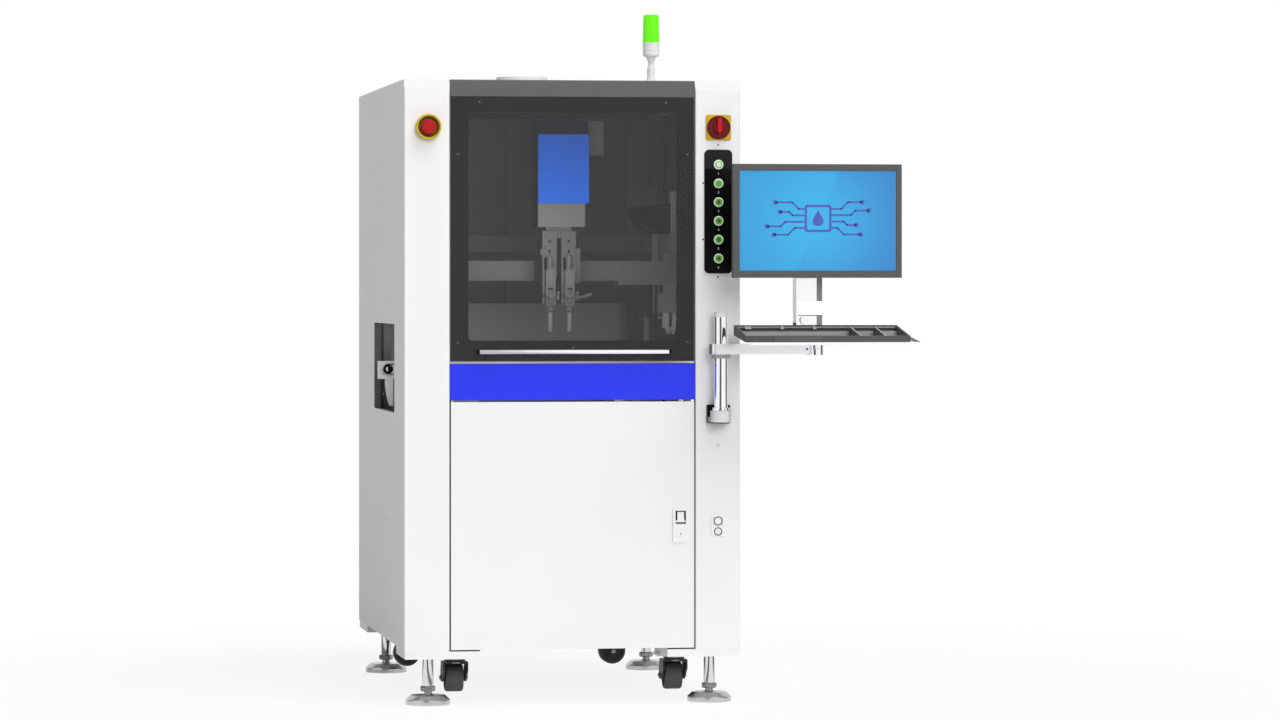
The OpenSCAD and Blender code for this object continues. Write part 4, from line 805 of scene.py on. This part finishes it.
def makeButtons():
    x, top, pitch, face, panelX, panelZ, corner, rim, bezel, ring, core, drop, size, header = buttons.values()
    plate = plateSkin(panelX, (face - 4, face - 0.02), panelZ, corner, rim, 8)
    left, right, peak, r = panelX[0] + rim, panelX[1] - rim, panelZ[1] - rim, corner - rim
    # outline of the top field, lighter by a painted reflection
    sheenField = np.concatenate([[(left, header), (right, header)], outlineArc((right - r, peak - r), r, 0, 90, 8),
                            outlineArc((left + r, peak - r), r, 90, 180, 8)])
    makePiece("buttonPlate", [plate, slabSkin(sheenField, face - 4.15, face - 3.9, 0, "y", number=1)],
              [glossBlack, printAndSheenBlack], replaces="button_panel")
    frameLine = [(bezel, 0), (bezel, 1.6), (bezel - 1.6, 4), (ring + 0.15, 4), (ring + 0.15, 0)]
    ringLine = [(0, -10), (ring - 0.1, -10), (ring - 0.1, 7.6), (ring - 1, 8.6), (core + 0.8, 8.9), (core + 0.1, 8.2)]
    heartLine = [(0, 2), (core, 2), (core, 8.1), (core - 0.8, 8.5), (0, 8.6)]
    paints = [[buttonGlow, buttonWhite], [buttonGreen, buttonGrey]] + [[buttonGreen, buttonShade]] * 4
    heights = [top - i * pitch for i in range(6)]
    for i, (z, paint) in enumerate(zip(heights, paints), 1):
        makePiece(f"pushButton{i}", [turnedSkin(ringLine, (x, face, z), "-y", 48, 0.5),
                                     turnedSkin(heartLine, (x, face, z), "-y", 40, 0.4, 1)],
                  paint, replaces=f"push_button_{i}")
        makeNumber(str(i), size, x, z - drop, face - 4.05)
    makePiece("buttonBezels", [turnedSkin(frameLine, (x, face - 4, z), "-y", 48, 0.8) for z in heights],
              bezelMetal, "cabinet")


def makeNumber(text, size, x, z, y):
    # plain printed number, standing upright on a front face
    curve = bpy.data.curves.new("number" + text, "FONT")
    curve.body = text
    curve.size = size
    curve.align_x = "CENTER"
    curve.align_y = "CENTER"
    curve.extrude = 0.05
    holder = addObject("number" + text, curve)
    bpy.context.view_layer.update()
    mesh = bpy.data.meshes.new_from_object(holder.evaluated_get(bpy.context.evaluated_depsgraph_get()))
    bpy.data.objects.remove(holder)
    points = [(x + vert.co.x, y + vert.co.z, z + vert.co.y) for vert in mesh.vertices]
    makePiece("buttonNumber" + text, [(points, [face.vertices for face in mesh.polygons], 0)], printWhite,
              "cabinet")


# Door latch, sockets and small lock

latch = dict(x=289, z=475, face=frontFace)


def makeLatchParts():
    x, z, face = latch.values()
    roundedCopy("latchHousing", "latch_housing", 0.9, 3)
    roundedCopy("latchPaddle", "latch_paddle", 0.5)
    # a black plate at the back of the latch's well: painted shade
    well = blockSkin((x - 13.6, x + 13.6), (face + 10.6, face + 11.8), (z + 4.4, z + 38.6))
    makePiece("latchWellShade", [well], shadeAndBlackPlastic, "door")
    barrel = [(0, -6), (7.9, -6), (7.9, 5.4), (7.3, 6), (2.6, 6), (2.6, 4.8), (0, 4.8)]
    # the black bar in the barrel is the painted shade of its key slot
    makePiece("latchKeyBarrel", [turnedSkin(barrel, (x, face, z - 23), "-y", 48, 0.5),
                                 blockSkin((x - 0.9, x + 0.9), (face - 5.4, face - 4.7), (z - 27.5, z - 18.5), 1)],
              [white, shadeAndBlackPlastic], "door")


sockets = dict(x=390, z=475, face=frontFace, lockZ=687)


def makeSockets():
    x, z, face, lockZ = sockets.values()
    skins = [plateSkin((x - 19, x + 19), (face - 3, face - 0.02), (z - 30, z + 30), 5, 0.8)]
    for dz, r in ((11, 12), (-17, 11)):
        ring = [(r, 2.9), (r, 4.2), (r - 1.9, 4.2), (r - 2.2, -12), (r - 1.4, -12.5), (r - 0.4, 2.5)]
        floor = [(0, -7), (r - 2.1, -7), (r - 2.1, 4.0), (r - 2.3, 4.05), (r - 2.4, -6), (0, -6)]
        skins += [turnedSkin(line, (x, face, z + dz), "-y", 48, soft, 1)
                  for line, soft in ((ring, 0.4), (floor, 0.2))]
    skins += [screwSkin(x + dx, face - 3, z + dz, 1.6, 0.9, number=2) for dx in (-12.3, 12.3) for dz in (20.5, 1.5)]
    makePiece("socketPlate", skins, [greyPlastic, shadeAndBlackPlastic, stainless], replaces="service_sockets")
    body = [(0, 0), (6.5, 0), (6.5, 2.2), (5.9, 3), (4.2, 3), (4.0, 2.2), (0, 2.2)]
    # the black bar in the lock is the painted shade of its key slot
    makePiece("cabinetLock", [turnedSkin(body, (x + 1, face, lockZ), "-y", 40, 0.4),
                              blockSkin((x + 0.3, x + 1.7), (face - 2.6, face - 2.1), (lockZ - 3, lockZ + 3), 1)],
              [chrome, shadeAndBlackPlastic], "cabinet")


# Monitor post on the right column, with a ring over the block that holds it; a black disc on the ring is the painted
# shade of its hole

post = dict(x=390, y=-690, radius=18)


def makePost():
    x, y, r = post.values()

    def turned(profile, soft, segments=64):
        return turnedSkin(profile, (x, y, 0), "z", segments, soft)

    makePiece("postTube", [turned(rod(r, 760, 1030.5), 0.4, 96)], postSteel, replaces="monitor_post")
    cap = [(0, 1030), (r + 0.5, 1030), (r + 0.6, 1042), (r - 1, 1043), (0, 1043)]
    makePiece("postCap", [turned(cap, 1.0)], greyPlastic, "cabinet")
    ring = [(r + 5, 781.4), (r + 5, 789.6), (r + 0.2, 789.6), (r + 0.2, 781.4)]
    turn, out = 0.3, r + 4.6
    place = (x + out * math.sin(turn), y - out * math.cos(turn), 785.5)
    holeShade = turnedSkin(rod(1.9, 0, 0.7), place, "-y", 20, number=1)
    makePiece("postRing", [turned(ring, 1.2), holeShade], [postSteel, shadeAndBlackPlastic], "cabinet")
    outline = np.concatenate([outlineArc((x, y), 23.5, 180, 360, 24), [(x + 23.5, -654.2), (x - 23.5, -654.2)]])
    makePiece("postBlock", [slabSkin(outline, 750, 781, 1.5), slabSkin(outline, 747.6, 750.2, 0.4, number=1),
                            blockSkin((x - 29.5, x - 23), (-662, -654.2), (750, 764), 2)],
              [greyPaint, shadeAndBlackPlastic, collarGrey], "cabinet")
    back = plateSkin((x - 31, x + 31), (frontFace - 14, frontFace - 0.02), (748, 796), 2.5, 1.0)
    makePiece("postBackPlate", [back], glossBlack, "cabinet")


# Swing arm, with its collar, end cap and pivot

arm = dict(low=931, high=959, near=-715, far=-665, left=361.5, pivot=644.5, boss=22.3)


def makeArm():
    x, y, r = post.values()
    low, high, near, far, left, pivot, boss = arm.values()
    collar = [(25, 920), (25, 930.6), (r + 0.1, 930.6), (r + 0.1, 920)]
    makePiece("collarRing", [turnedSkin(collar, (x, y, 0), "z", 72, 0.8)], collarGrey, replaces="stop_collar")
    end = pivot - 19.5
    outline = np.concatenate([[(end, near), (end, far)], outlineArc((left + 11, far - 11), 11, 90, 180, 7),
                              outlineArc((left + 11, near + 11), 11, 180, 270, 7)])
    makePiece("armBar", [slabSkin(outline, low, high, 1.2)], armMetal, replaces="swing_arm")
    ring = [(boss, low - 2), (boss, high), (8.1, high), (8.1, low + 6), (0, low + 6), (0, low - 2)]
    makePiece("armBoss", [turnedSkin(ring, (pivot, y, 0), "z", 72, 0.8)], postSteel, "arm")
    cap = blockSkin((left - 0.4, left + 1), (near + 9, far - 9), (low + 0.5, high - 0.5))
    makePiece("armEndCap", [cap], glossBlack, "arm")
    makePiece("armScrew", [screwSkin(617.5, near, 945, 3.0, 1.4)], glossBlack, "arm")


# Monitor: front frame, screen, stepped back shell with vents, tilt hinge

monitor = dict(left=392, right=843, low=1134, high=1433, face=-870, depth=24, leftBezel=18.3, rightBezel=15.2,
               topBezel=17.8, foot=19, hinge=(617.5, -790, 1282))


def makeMonitor():
    left, right, low, high, face, depth, leftSide, side, top, foot, hinge = monitor.values()
    x0, x1, z0, z1 = left + leftSide, right - side, low + foot, high - top
    # the front frame: one mitred section round the screen, drawn at each corner
    steps = softenedLoop([(0, 3.0), (0.9, 0.6), (side - 0.3, 0), (side, 0.6), (side, depth), (0, depth)], 0.5, 3)
    inner = np.array([(x1, z1), (x0, z1), (x0, z0), (x1, z0)], float)
    outer = np.array([(right, high), (left, high), (left, low), (right, low)], float)
    ring = inner[:, None] + (outer - inner)[:, None] * (steps[:, :1] / side)
    shell = roundedRect((left + 48, low + 38), (right - 48, high - 38), 22, 8)
    makePiece("monitorFrame", [skin(upright(ring, face + steps[:, 1]), True),
                               blockSkin((left + 1, right - 1), (face + depth - 2.5, face + depth - 0.6),
                                         (low + 1, high - 1)),
                               slabSkin(shell, face + depth - 1, face + 45, 9, "y", 6)],
              monitorGrey, replaces="monitor_body", bevel=0.5)
    x, y, z = hinge
    makePiece("monitorTiltLug", [plateSkin((x - 50, x + 50), (face + 44.5, face + 49.5), (z - 50, z + 50), 6, 1.0),
                                 plateSkin((x - 19, x + 19), (face + 49, y), (z - 11, z + 11), 3, 1.0),
                                 turnedSkin(rod(12, -19, 19), hinge, "x", 48, 0.8),
                                 turnedSkin(rod(5.9, -29, 29), hinge, "x", 32, 0.6)],
              blackPaint, "monitor")
    # the vents are shallow black insets: painted shade of their openings
    sunk = (face + 44.4, face + 45.4)
    vents = [blockSkin((507.5, 727.5), sunk, (1390 - 7 * i, 1393 - 7 * i)) for i in range(3)]
    vents += [blockSkin((507.5 + 10 * i, 513.5 + 10 * i), sunk, (1186, 1206)) for i in range(22)]
    makePiece("monitorVentShade", vents, shadeAndBlackPlastic, "monitor")
    screws = [screwSkin(x + dx, face + 49.5, z + dz, 4, 2, "y") for dx in (-37.5, 37.5) for dz in (-37.5, 37.5)]
    makePiece("monitorPlateScrews", screws, chrome, "monitor")
    glass = blockSkin((x0 - 0.5, x1 + 0.5), (face + 3.2, face + 6), (z0 - 0.5, z1 + 0.5))
    makePiece("monitorScreen", [glass], screenBlue, replaces="monitor_screen")
    makeMotif((x0 + x1) / 2, face + 3.2, (z0 + z1) / 2 + 6)


# tracks of a circuit board round a chip: start beside it, two bends and end, to the right and up, in mm
tracks = (((36, 25), (62, 25), (80, 43), (118, 43)), ((36, 9), (88, 9), (100, 21), (136, 21)),
          ((36, -8), (68, -8), (77, -17), (102, -17)), ((36, -25), (52, -25), (69, -42), (114, -42)))
trackHalf, padSize = 2.4, 6.4


def makeMotif(x, y, z):
    # a drop of coating over a chip whose tracks end in round pads
    front, back = y - 0.25, y - 0.01
    outer, inner = (roundedRect((x - r, z - r), (x + r, z + r), c, 4) for r, c in ((36, 7), (29.5, 3.5)))
    t = wholeTurn(40)
    # drop: across = r sin t sin(t/2)^1.6, up = r cos t
    drop = np.stack([x + 21 * np.sin(t) * np.sin(t / 2) ** 1.6, z + 1 + 21 * np.cos(t)], 1)
    skins = [rimSkin(outer, inner, front, back), slabSkin(drop, front, back, 0, "y")]
    for side in (-1, 1):
        for track in tracks:
            line = np.add((x, z), side * np.array(track))
            for start, end in zip(line[:-1], line[1:]):
                along = (end - start) / np.linalg.norm(end - start)
                across = np.array([-along[1], along[0]]) * trackHalf
                corners = [start - across, end - across, end + across, start + across]
                skins.append(slabSkin(corners, front, back, 0, "y"))
            for point, size in zip(line[1:], (trackHalf, trackHalf, padSize)):
                skins.append(turnedSkin(rod(size, 0, 0.24), (point[0], back, point[1]), "-y", 20))
    makePiece("monitorMotif", skins, screenIndigo, "monitor")


# Moulded keyboard tray: a well, two pockets, a back ledge with tabs over it and a raised lip in front. Its floor and
# ledge, a strip on its back wall and the tops of its dividers and tabs are lighter by painted light, and a strip
# above the ledge is darker by painted shade

keyTray = dict(left=412, right=852, front=-940, depth=180, low=(965.5, 982), top=(982, 1009),
               dividers=((306, 311), (372, 377)), tabs=((28, 17), (123, 9), (210, 9)), lip=(75, 205), wall=4.9)


def makeTray():
    left, right, front, depth, lowEnds, topEnds, dividers, tabs, lip, inside = keyTray.values()
    wide = right - left

    def sloped(start, end):
        # points on a line that rises from the tray's front to its back
        return lambda d, up=0.0: (front + d, start + (end - start) * d / depth + up)

    def strip(points, number, start=inside, end=wide - inside, rim=0.0):
        return slabSkin(points, left + start, left + end, rim, "x", number=number)

    def wall(start, end, fore, aft):
        return strip([low(fore), low(aft), top(aft), top(fore)], 0, start, end, 0.7)

    low, top = sloped(*lowEnds), sloped(*topEnds)
    skins = [wall(0, 5, 0, depth), wall(wide - 5, wide, 0, depth), wall(inside, wide - inside, 0, 5),
             wall(inside, wide - inside, depth - 5, depth),
             strip([low(4.9), low(155), low(155, 3), low(4.9, 3)], 1),
             strip([low(154), low(175.1), low(175.1, 12), low(155, 12), low(154, 11)], 1),
             strip([low(174, 15), low(175.2, 15), low(175.2, 20), low(174, 20)], 3),
             strip([top(174, -8), top(175.2, -8), top(175.2, -3.5), top(174, -3.5)], 1)]
    for start, end in dividers:
        skins += [wall(start, end, 4.9, 154.1),
                  strip([top(5), top(154), top(154, 0.3), top(5, 0.3)], 2, start + 0.6, end - 0.6)]
    for x, width in tabs:
        tab = [top(163, -8), top(175.5, -7), top(175.5, -1.5), top(163, -2.5)]
        skins.append(strip(tab, 2, x, x + width, 0.5))
    edge = front - 2.5
    skins.append(strip([(edge, low(0, 1)[1]), low(1, 1), top(1), (edge, top(0, -1)[1])], 4, *lip, 0.8))
    makePiece("keyboardTray", skins, [trayPlastic, trayFloor, trayEdge, trayShade, monitorGrey],
              replaces="keyboard_tray", bevel=0.5)


# Spray valves: body with an air cylinder on top, ring nut and nozzle below, the air and fluid
# tubes on the left and the flow adjuster on the right, and one lever beside them

valves = dict(at=(1.5, 54.5), y=-168, front=-182, back=-154, low=1057, high=1154, half=13.5, lever=79.5,
              leverTurn=74)


def makeValves():
    at, y, front, back, low, high, half, lever, leverTurn = valves.values()
    skins, marks = [], []

    def stand(profile, x, segments, soft, dy=0, number=0):
        skins.append(turnedSkin(profile, (x, y + dy, 0), "z", segments, soft, number))

    def lie(start, end, dy, z, r):
        skins.append(turnedSkin(rod(r, start, end), (0, y + dy, z), "x", 28, 0.5))

    # black discs for sunk screws and the plates' holes, painted shade of their hollows, and a plain printed marking
    # of three dots under two bars:
    # depth, segments, then to the right, height and radius of each
    dots = ((front + 0.1, 20, ((-8, 1080, 2.6), (9.5, 1080, 2.6), (9.6, 1149, 1.8))),
            (front + 0.1, 14, ((-5, 1096.5, 1.5), (0, 1096.5, 1.5), (5, 1096.5, 1.5))),
            (back - 0.05, 20, ((0, 1236, 3.7), (0, 1208, 3.7), (-12, 1221, 1.5), (12, 1221, 1.5), (-12, 1171, 2.4),
                               (12, 1171, 2.4))))
    for x in at:
        skins += [plateSkin((x - half, x + half), (front, back), (low, high), 1.2, 0.9),
                  plateSkin((x - 10, x + 16), (front + 6, back), (1130, 1158), 1.2, 0.9)]
        stand([(0, 1153), (8.6, 1153), (8.6, 1160), (6.6, 1161), (6.6, 1192), (5, 1197), (0, 1198)], x - 1.5, 36, 1.2)
        stand([(0, 1058), (10, 1058), (10, 1053.2), (11.8, 1052.4), (11.8, 1044.6), (10.8, 1043.2), (7, 1043),
               (7, 1039.6), (0, 1039.6)], x, 48, 0.5)
        stand([(0, 1040), (6.2, 1040), (6.2, 987), (5.2, 986), (1.4, 986), (1.2, 990), (0, 990)], x, 48, 0.5, 0, 1)
        stand([(0, 1063), (5, 1063), (5, 1077), (2, 1079), (2, 1091), (4, 1093), (4, 1148), (3, 1150), (0, 1150)],
              x - 18, 28, 0.8, 4)
        ball = [(6 * math.cos(a), 1092 + 6 * math.sin(a)) for a in np.linspace(-0.8, math.pi / 2, 9)]
        stand([(0, 1080), (4, 1080), (4, 1087)] + ball, x + 22, 28, 0, 2)
        skins.append(turnedSkin([(0, -2), (6, -2), (6, 1.4), (5.3, 2), (4.4, 2), (4.2, 1), (0, 1)],
                                (x, front, 1071), "-y", 36, 0.3))
        for z, r in ((1134, 3.5), (1098, 3.5), (1071, 2.5)):
            lie(x - 18, x - 10, 4, z, r)
        lie(x + 10, x + 24, 2, 1079, 4)
        lie(x + 17, x + 25, 2, 1079, 7)
        # a painted shadow on the plate beside each air cylinder, and a painted shade ring round each front screw
        marks += [plateSkin((x - 15, x - 7.5), (back - 0.35, back - 0.02), (1157, 1191), 2),
                  turnedSkin([(6, 0.05), (7.4, 0.05), (7.4, 0.2), (6, 0.2)], (x, front + 0.1, 1071), "-y", 36)]
        marks += [blockSkin((x + start, x + end), (front - 0.25, front + 0.1), (1101, 1107.5))
                  for start, end in ((-7, -0.5), (0.7, 6.5))]
        marks += [turnedSkin(rod(r, 0, 0.3), (x + dx, depth, z), "-y", segments)
                  for depth, segments, places in dots for dx, z, r in places]
    lie(lever - 4, lever + 4, 2, 1079, 7)
    along = np.array([math.sin(math.radians(leverTurn)), 0, math.cos(math.radians(leverTurn))])
    path = [np.array([lever + 2, y + 2, 1079.0]) + along * d for d in (0, 6, 13, 13.2, 22, 36, 37)]
    skins.append(tubeSkin(path, (3, 3.2, 3.4, 4.2, 4.8, 5.5, 4.6), 24))
    makePiece("valveBodies", skins, [valveMetal, nozzleLitMetal], replaces="spray_valves")
    makePiece("valveMarksAndShade", marks, shadeAndBlackPlastic, "valve_slide")


# Black border printed on the inside of the acrylic, round the see-through area, the screws that
# hold the sheet, and those of the button panel's column

hoodPrint = dict(half=325.4, low=914.1, high=1612.9, viewHalf=279, viewLow=968, viewHigh=1574, corner=10,
                 screws=((-250, 1600), (250, 1600), (-308, 1462.6), (308, 1462.6), (-308, 963), (308, 963), (0, 949)),
                 columnScrews=((390.2, 1488.5), (349.7, 1387), (349.7, 1236.5), (390.2, 1136.5)))


def makeWindowPrint():
    half, low, high, viewHalf, viewLow, viewHigh, corner, screws, others = hoodPrint.values()
    band = rimSkin(roundedRect((-half, low), (half, high), 2),
                   roundedRect((-viewHalf, viewLow), (viewHalf, viewHigh), corner), -636.5, -636.15)
    makePiece("windowPrint", [band], printAndSheenBlack, "hood")
    screws = [screwSkin(x, frontFace, z, 3.2, 1.0) for x, z in screws]
    makePiece("windowScrews", screws, monitorGrey, "hood")
    screws = [screwSkin(x, frontFace, z, 2.6, 0.9) for x, z in others]
    makePiece("columnScrews", screws, nutSteel, "cabinet")


# Signal lamp on the roof

lampSpot = dict(x=248, y=-390, z=1660)


def makeLamp():
    place = tuple(lampSpot.values())
    stand = [(0, 0), (23, 0), (23, 5), (17, 8), (11.5, 12), (11.5, 17), (10.6, 18), (10.6, 45), (9.5, 46),
             (7.6, 46), (7.6, 58), (9.5, 62), (12, 71), (14, 73.5), (20, 74.5), (22.4, 79), (22.4, 88),
             (21.8, 89), (22.4, 90), (22.4, 107), (23.1, 108), (23.1, 112), (0, 112)]
    makePiece("lampStand", [turnedSkin(stand, place, "z", 64, 1.0)], greyPlastic, replaces="lamp_pole")
    lens = [(0, 112), (22.6, 112), (22.2, 140), (21.3, 182), (20, 187), (12, 188.6), (0, 189)]
    makePiece("lampLens", [turnedSkin(lens, place, "z", 64, 2.5)], lensGreen, replaces="lamp_lens")


# Levelling feet: turned pad and ball neck, six-sided lock nut between washers, polished stem

feet = dict(x=379, y=562, pad=59, stem=14.5, stemTop=125, nut=20, nutLow=36, nutHigh=49, washer=16.6)


def makeFeet():
    x, y, r, stem, stemTop, nut, low, high, washer = feet.values()
    pad = [(0, 0), (r - 1, 0), (r, 1.2), (r, 12.5), (r - 1.5, 14.5), (r - 12, 24.5), (r - 14, 25.6), (19, 26),
           (14.5, 27), (9.5, 30.5), (9.5, 32), (12.5, 35), (12.5, 37), (0, 37)]
    pads, nuts = [], []
    for place in ((-x, -y, 0), (-x, y, 0), (x, -y, 0), (x, y, 0)):
        pads += [turnedSkin(pad, place, "z", 96, 0.9), turnedSkin(rod(stem, 36.5, stemTop), place, "z", 64, 0.6, 1)]
        nuts.append(slabSkin(outlineArc(place, nut, 0, 300, 6), low, high, 1.6))
        nuts += [turnedSkin(rod(washer, z, z + 1), place, "z", 48, 0.3) for z in (low - 0.6, high - 0.4)]
    makePiece("footPads", pads, [padSteel, turnedSteel], replaces="levelling_feet")
    makePiece("footNuts", nuts, nutSteel, "cabinet")


# Casters: tyre, hub, fork with its raceway and axle nuts; the rear ones are turned to the left

caster = dict(x=297, y=475, axle=61.5, trail=32, wheel=37.5, half=24, nutOut=35)


def makeCasters():
    outX, outY, axle, trail, r, half, nutOut = caster.values()
    tyre = [(r - 9, -half), (r - 3, -half), (r, -half + 5), (r, half - 5), (r - 3, half), (r - 9, half),
            (r - 10.5, half - 5), (9, half - 6), (9, -half + 6), (r - 10.5, -half + 5)]
    hub = [(5.1, -27), (12, -27), (12.5, -half + 5), (12.5, half - 5), (12, 27), (5.1, 27)]
    race = [(0, 101.8), (26, 101.8), (30, 103.5), (30, 107), (24.5, 109), (24.5, 111), (30, 112.5), (30, 115.4),
            (0, 115.4)]
    nut = [(0, 0), (6.5, 0), (6.5, 2.4), (5.2, 3.2), (2.6, 3.2), (2.4, 4.2), (0, 4.4)]
    for row, y, axis in (("front", -outY, "x"), ("rear", outY, "y")):
        for side, x in (("left", -outX), ("right", outX)):
            place = (x - trail, y, axle) if row == "rear" else (x, y + trail, axle)
            shift = (0, nutOut, 0) if row == "rear" else (nutOut, 0, 0)
            name, end = "caster" + row.capitalize() + side.capitalize(), f"{row}_{side}"
            makePiece(name + "Wheel", [turnedSkin(tyre, place, axis, 72, 1.2), turnedSkin(hub, place, axis, 40, 0.8)],
                      rubber, replaces="caster_wheel_" + end)
            roundedCopy(name + "Fork", "caster_fork_" + end, 0.7)
            makePiece(name + "Race", [turnedSkin(race, (x, y, 0), "z", 64, 1.0),
                                      turnedSkin(nut, np.subtract(place, shift), "-" + axis, 24, 0.4),
                                      turnedSkin(nut, np.add(place, shift), axis, 24, 0.4)],
                      nutSteel, "fork_" + end)


# Grey strips down the right edge of the monitor bracket's column, painted shade of its rounded right side, with dark
# lines at two joins

def makeBracketEdge():
    skins = [blockSkin((638.6, 653.4), (-742.4, -684), z, rim=0.5) for z in ((970, 1035), (1073, 1134))]
    skins += [blockSkin((588.6, 653.2), (-742.5, -741.5), (1033.4, 1035.2), 1),
              blockSkin((638.7, 653.3), (-742.7, -741.5), (1073, 1075), 1)]
    makePiece("bracketEdge", skins, [sleevePaintedShade, trayShade], "arm_bracket")


# Dark seals round the lower door, which also give its gaps their painted shade; those at its left leave room for its
# edge to swing. A black sheet on the door's left edge is painted shade too.

def makeDoorSeal():
    low, high = (fromFrame(corner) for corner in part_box("lower_door"))
    (x0, x1), (z0, z1) = (low[0], high[0]), (low[2], high[2])
    depth, foot, head = (-638.8, -635), (z0 - 3.4, z0 - 0.3), (z1 + 0.3, z1 + 3.4)
    strips = (((x0 - 3.2, x0 - 1.9), depth, (z0, z1)), ((x0 - 3.2, x0 - 0.3), (-630, -629), (z0, z1)),
              ((x1 + 0.3, x1 + 3.2), depth, (z0, z1)), ((x0 - 3.2, -248), depth, foot),
              ((254, x1 + 3.2), depth, foot), ((x0 - 3.2, x0 + 1), depth, head), ((x0 + 7.2, x1 + 3.2), depth, head))
    makePiece("doorSeal", [blockSkin(*strip) for strip in strips], shadeAndBlackPlastic, "cabinet")
    edge = blockSkin((x0 - 0.25, x0 - 0.02), (-638.6, -622), (z0 + 1, z1 - 1))
    makePiece("doorEdgeSealShade", [edge], shadeAndBlackPlastic, "door")


# Seams in the chamber's back wall, and the light upright beside the cable chain's cover

def makeWallSeams():
    strips = [blockSkin((x - 1.4, x + 1.4), (571.2, 572.3), (1180, 1600)) for x in (6.5, 320.4)]
    makePiece("wallSeams", strips, trayShade, "cabinet")


def makeChainUpright():
    upright = plateSkin((365.8, 382.2), (19.6, 50.2), (1258.5, 1378.2), 1.5, 0.6, 3)
    makePiece("chainUpright", [upright], valveBoxGrey, "beam")


# Hood handle: rounded bar on two stepped legs, with dark end caps

handle = dict(half=253, low=932.5, high=943.5, front=-676, back=-664, legs=(-230, 230))


def makeHandle():
    half, low, high, front, back, legs = handle.values()
    bar = slabSkin(roundedRect((front, low), (back, high), 3.2, 5), -half, half, 0.6, "x")
    leg = [(0, 0), (5.2, 0), (5.2, 2), (4.6, 3), (4.6, 25), (0, 25)]
    makePiece("handleBar", [bar] + [turnedSkin(leg, (x, frontFace, 938), "-y", 32, 0.6) for x in legs],
              barAluminium, replaces="hood_handle")
    end = roundedRect((front - 0.4, low - 0.4), (back + 0.4, high + 0.4), 3.2, 5)
    caps = [slabSkin(end, *span, 0.6, "x") for span in ((-half - 6, -half), (half, half + 6))]
    makePiece("handleCaps", caps, glossBlack, "hood")


for make in (makeEmergencyStop, makeMainSwitch, makeButtons, makeLatchParts, makeSockets, makePost, makeArm,
             makeMonitor, makeLamp, makeFeet, makeCasters, makeHandle, makeTray, makeWindowPrint, makeValves,
             makeChainUpright, makeBracketEdge, makeDoorSeal, makeWallSeams):
    make()
print("pieces are made")
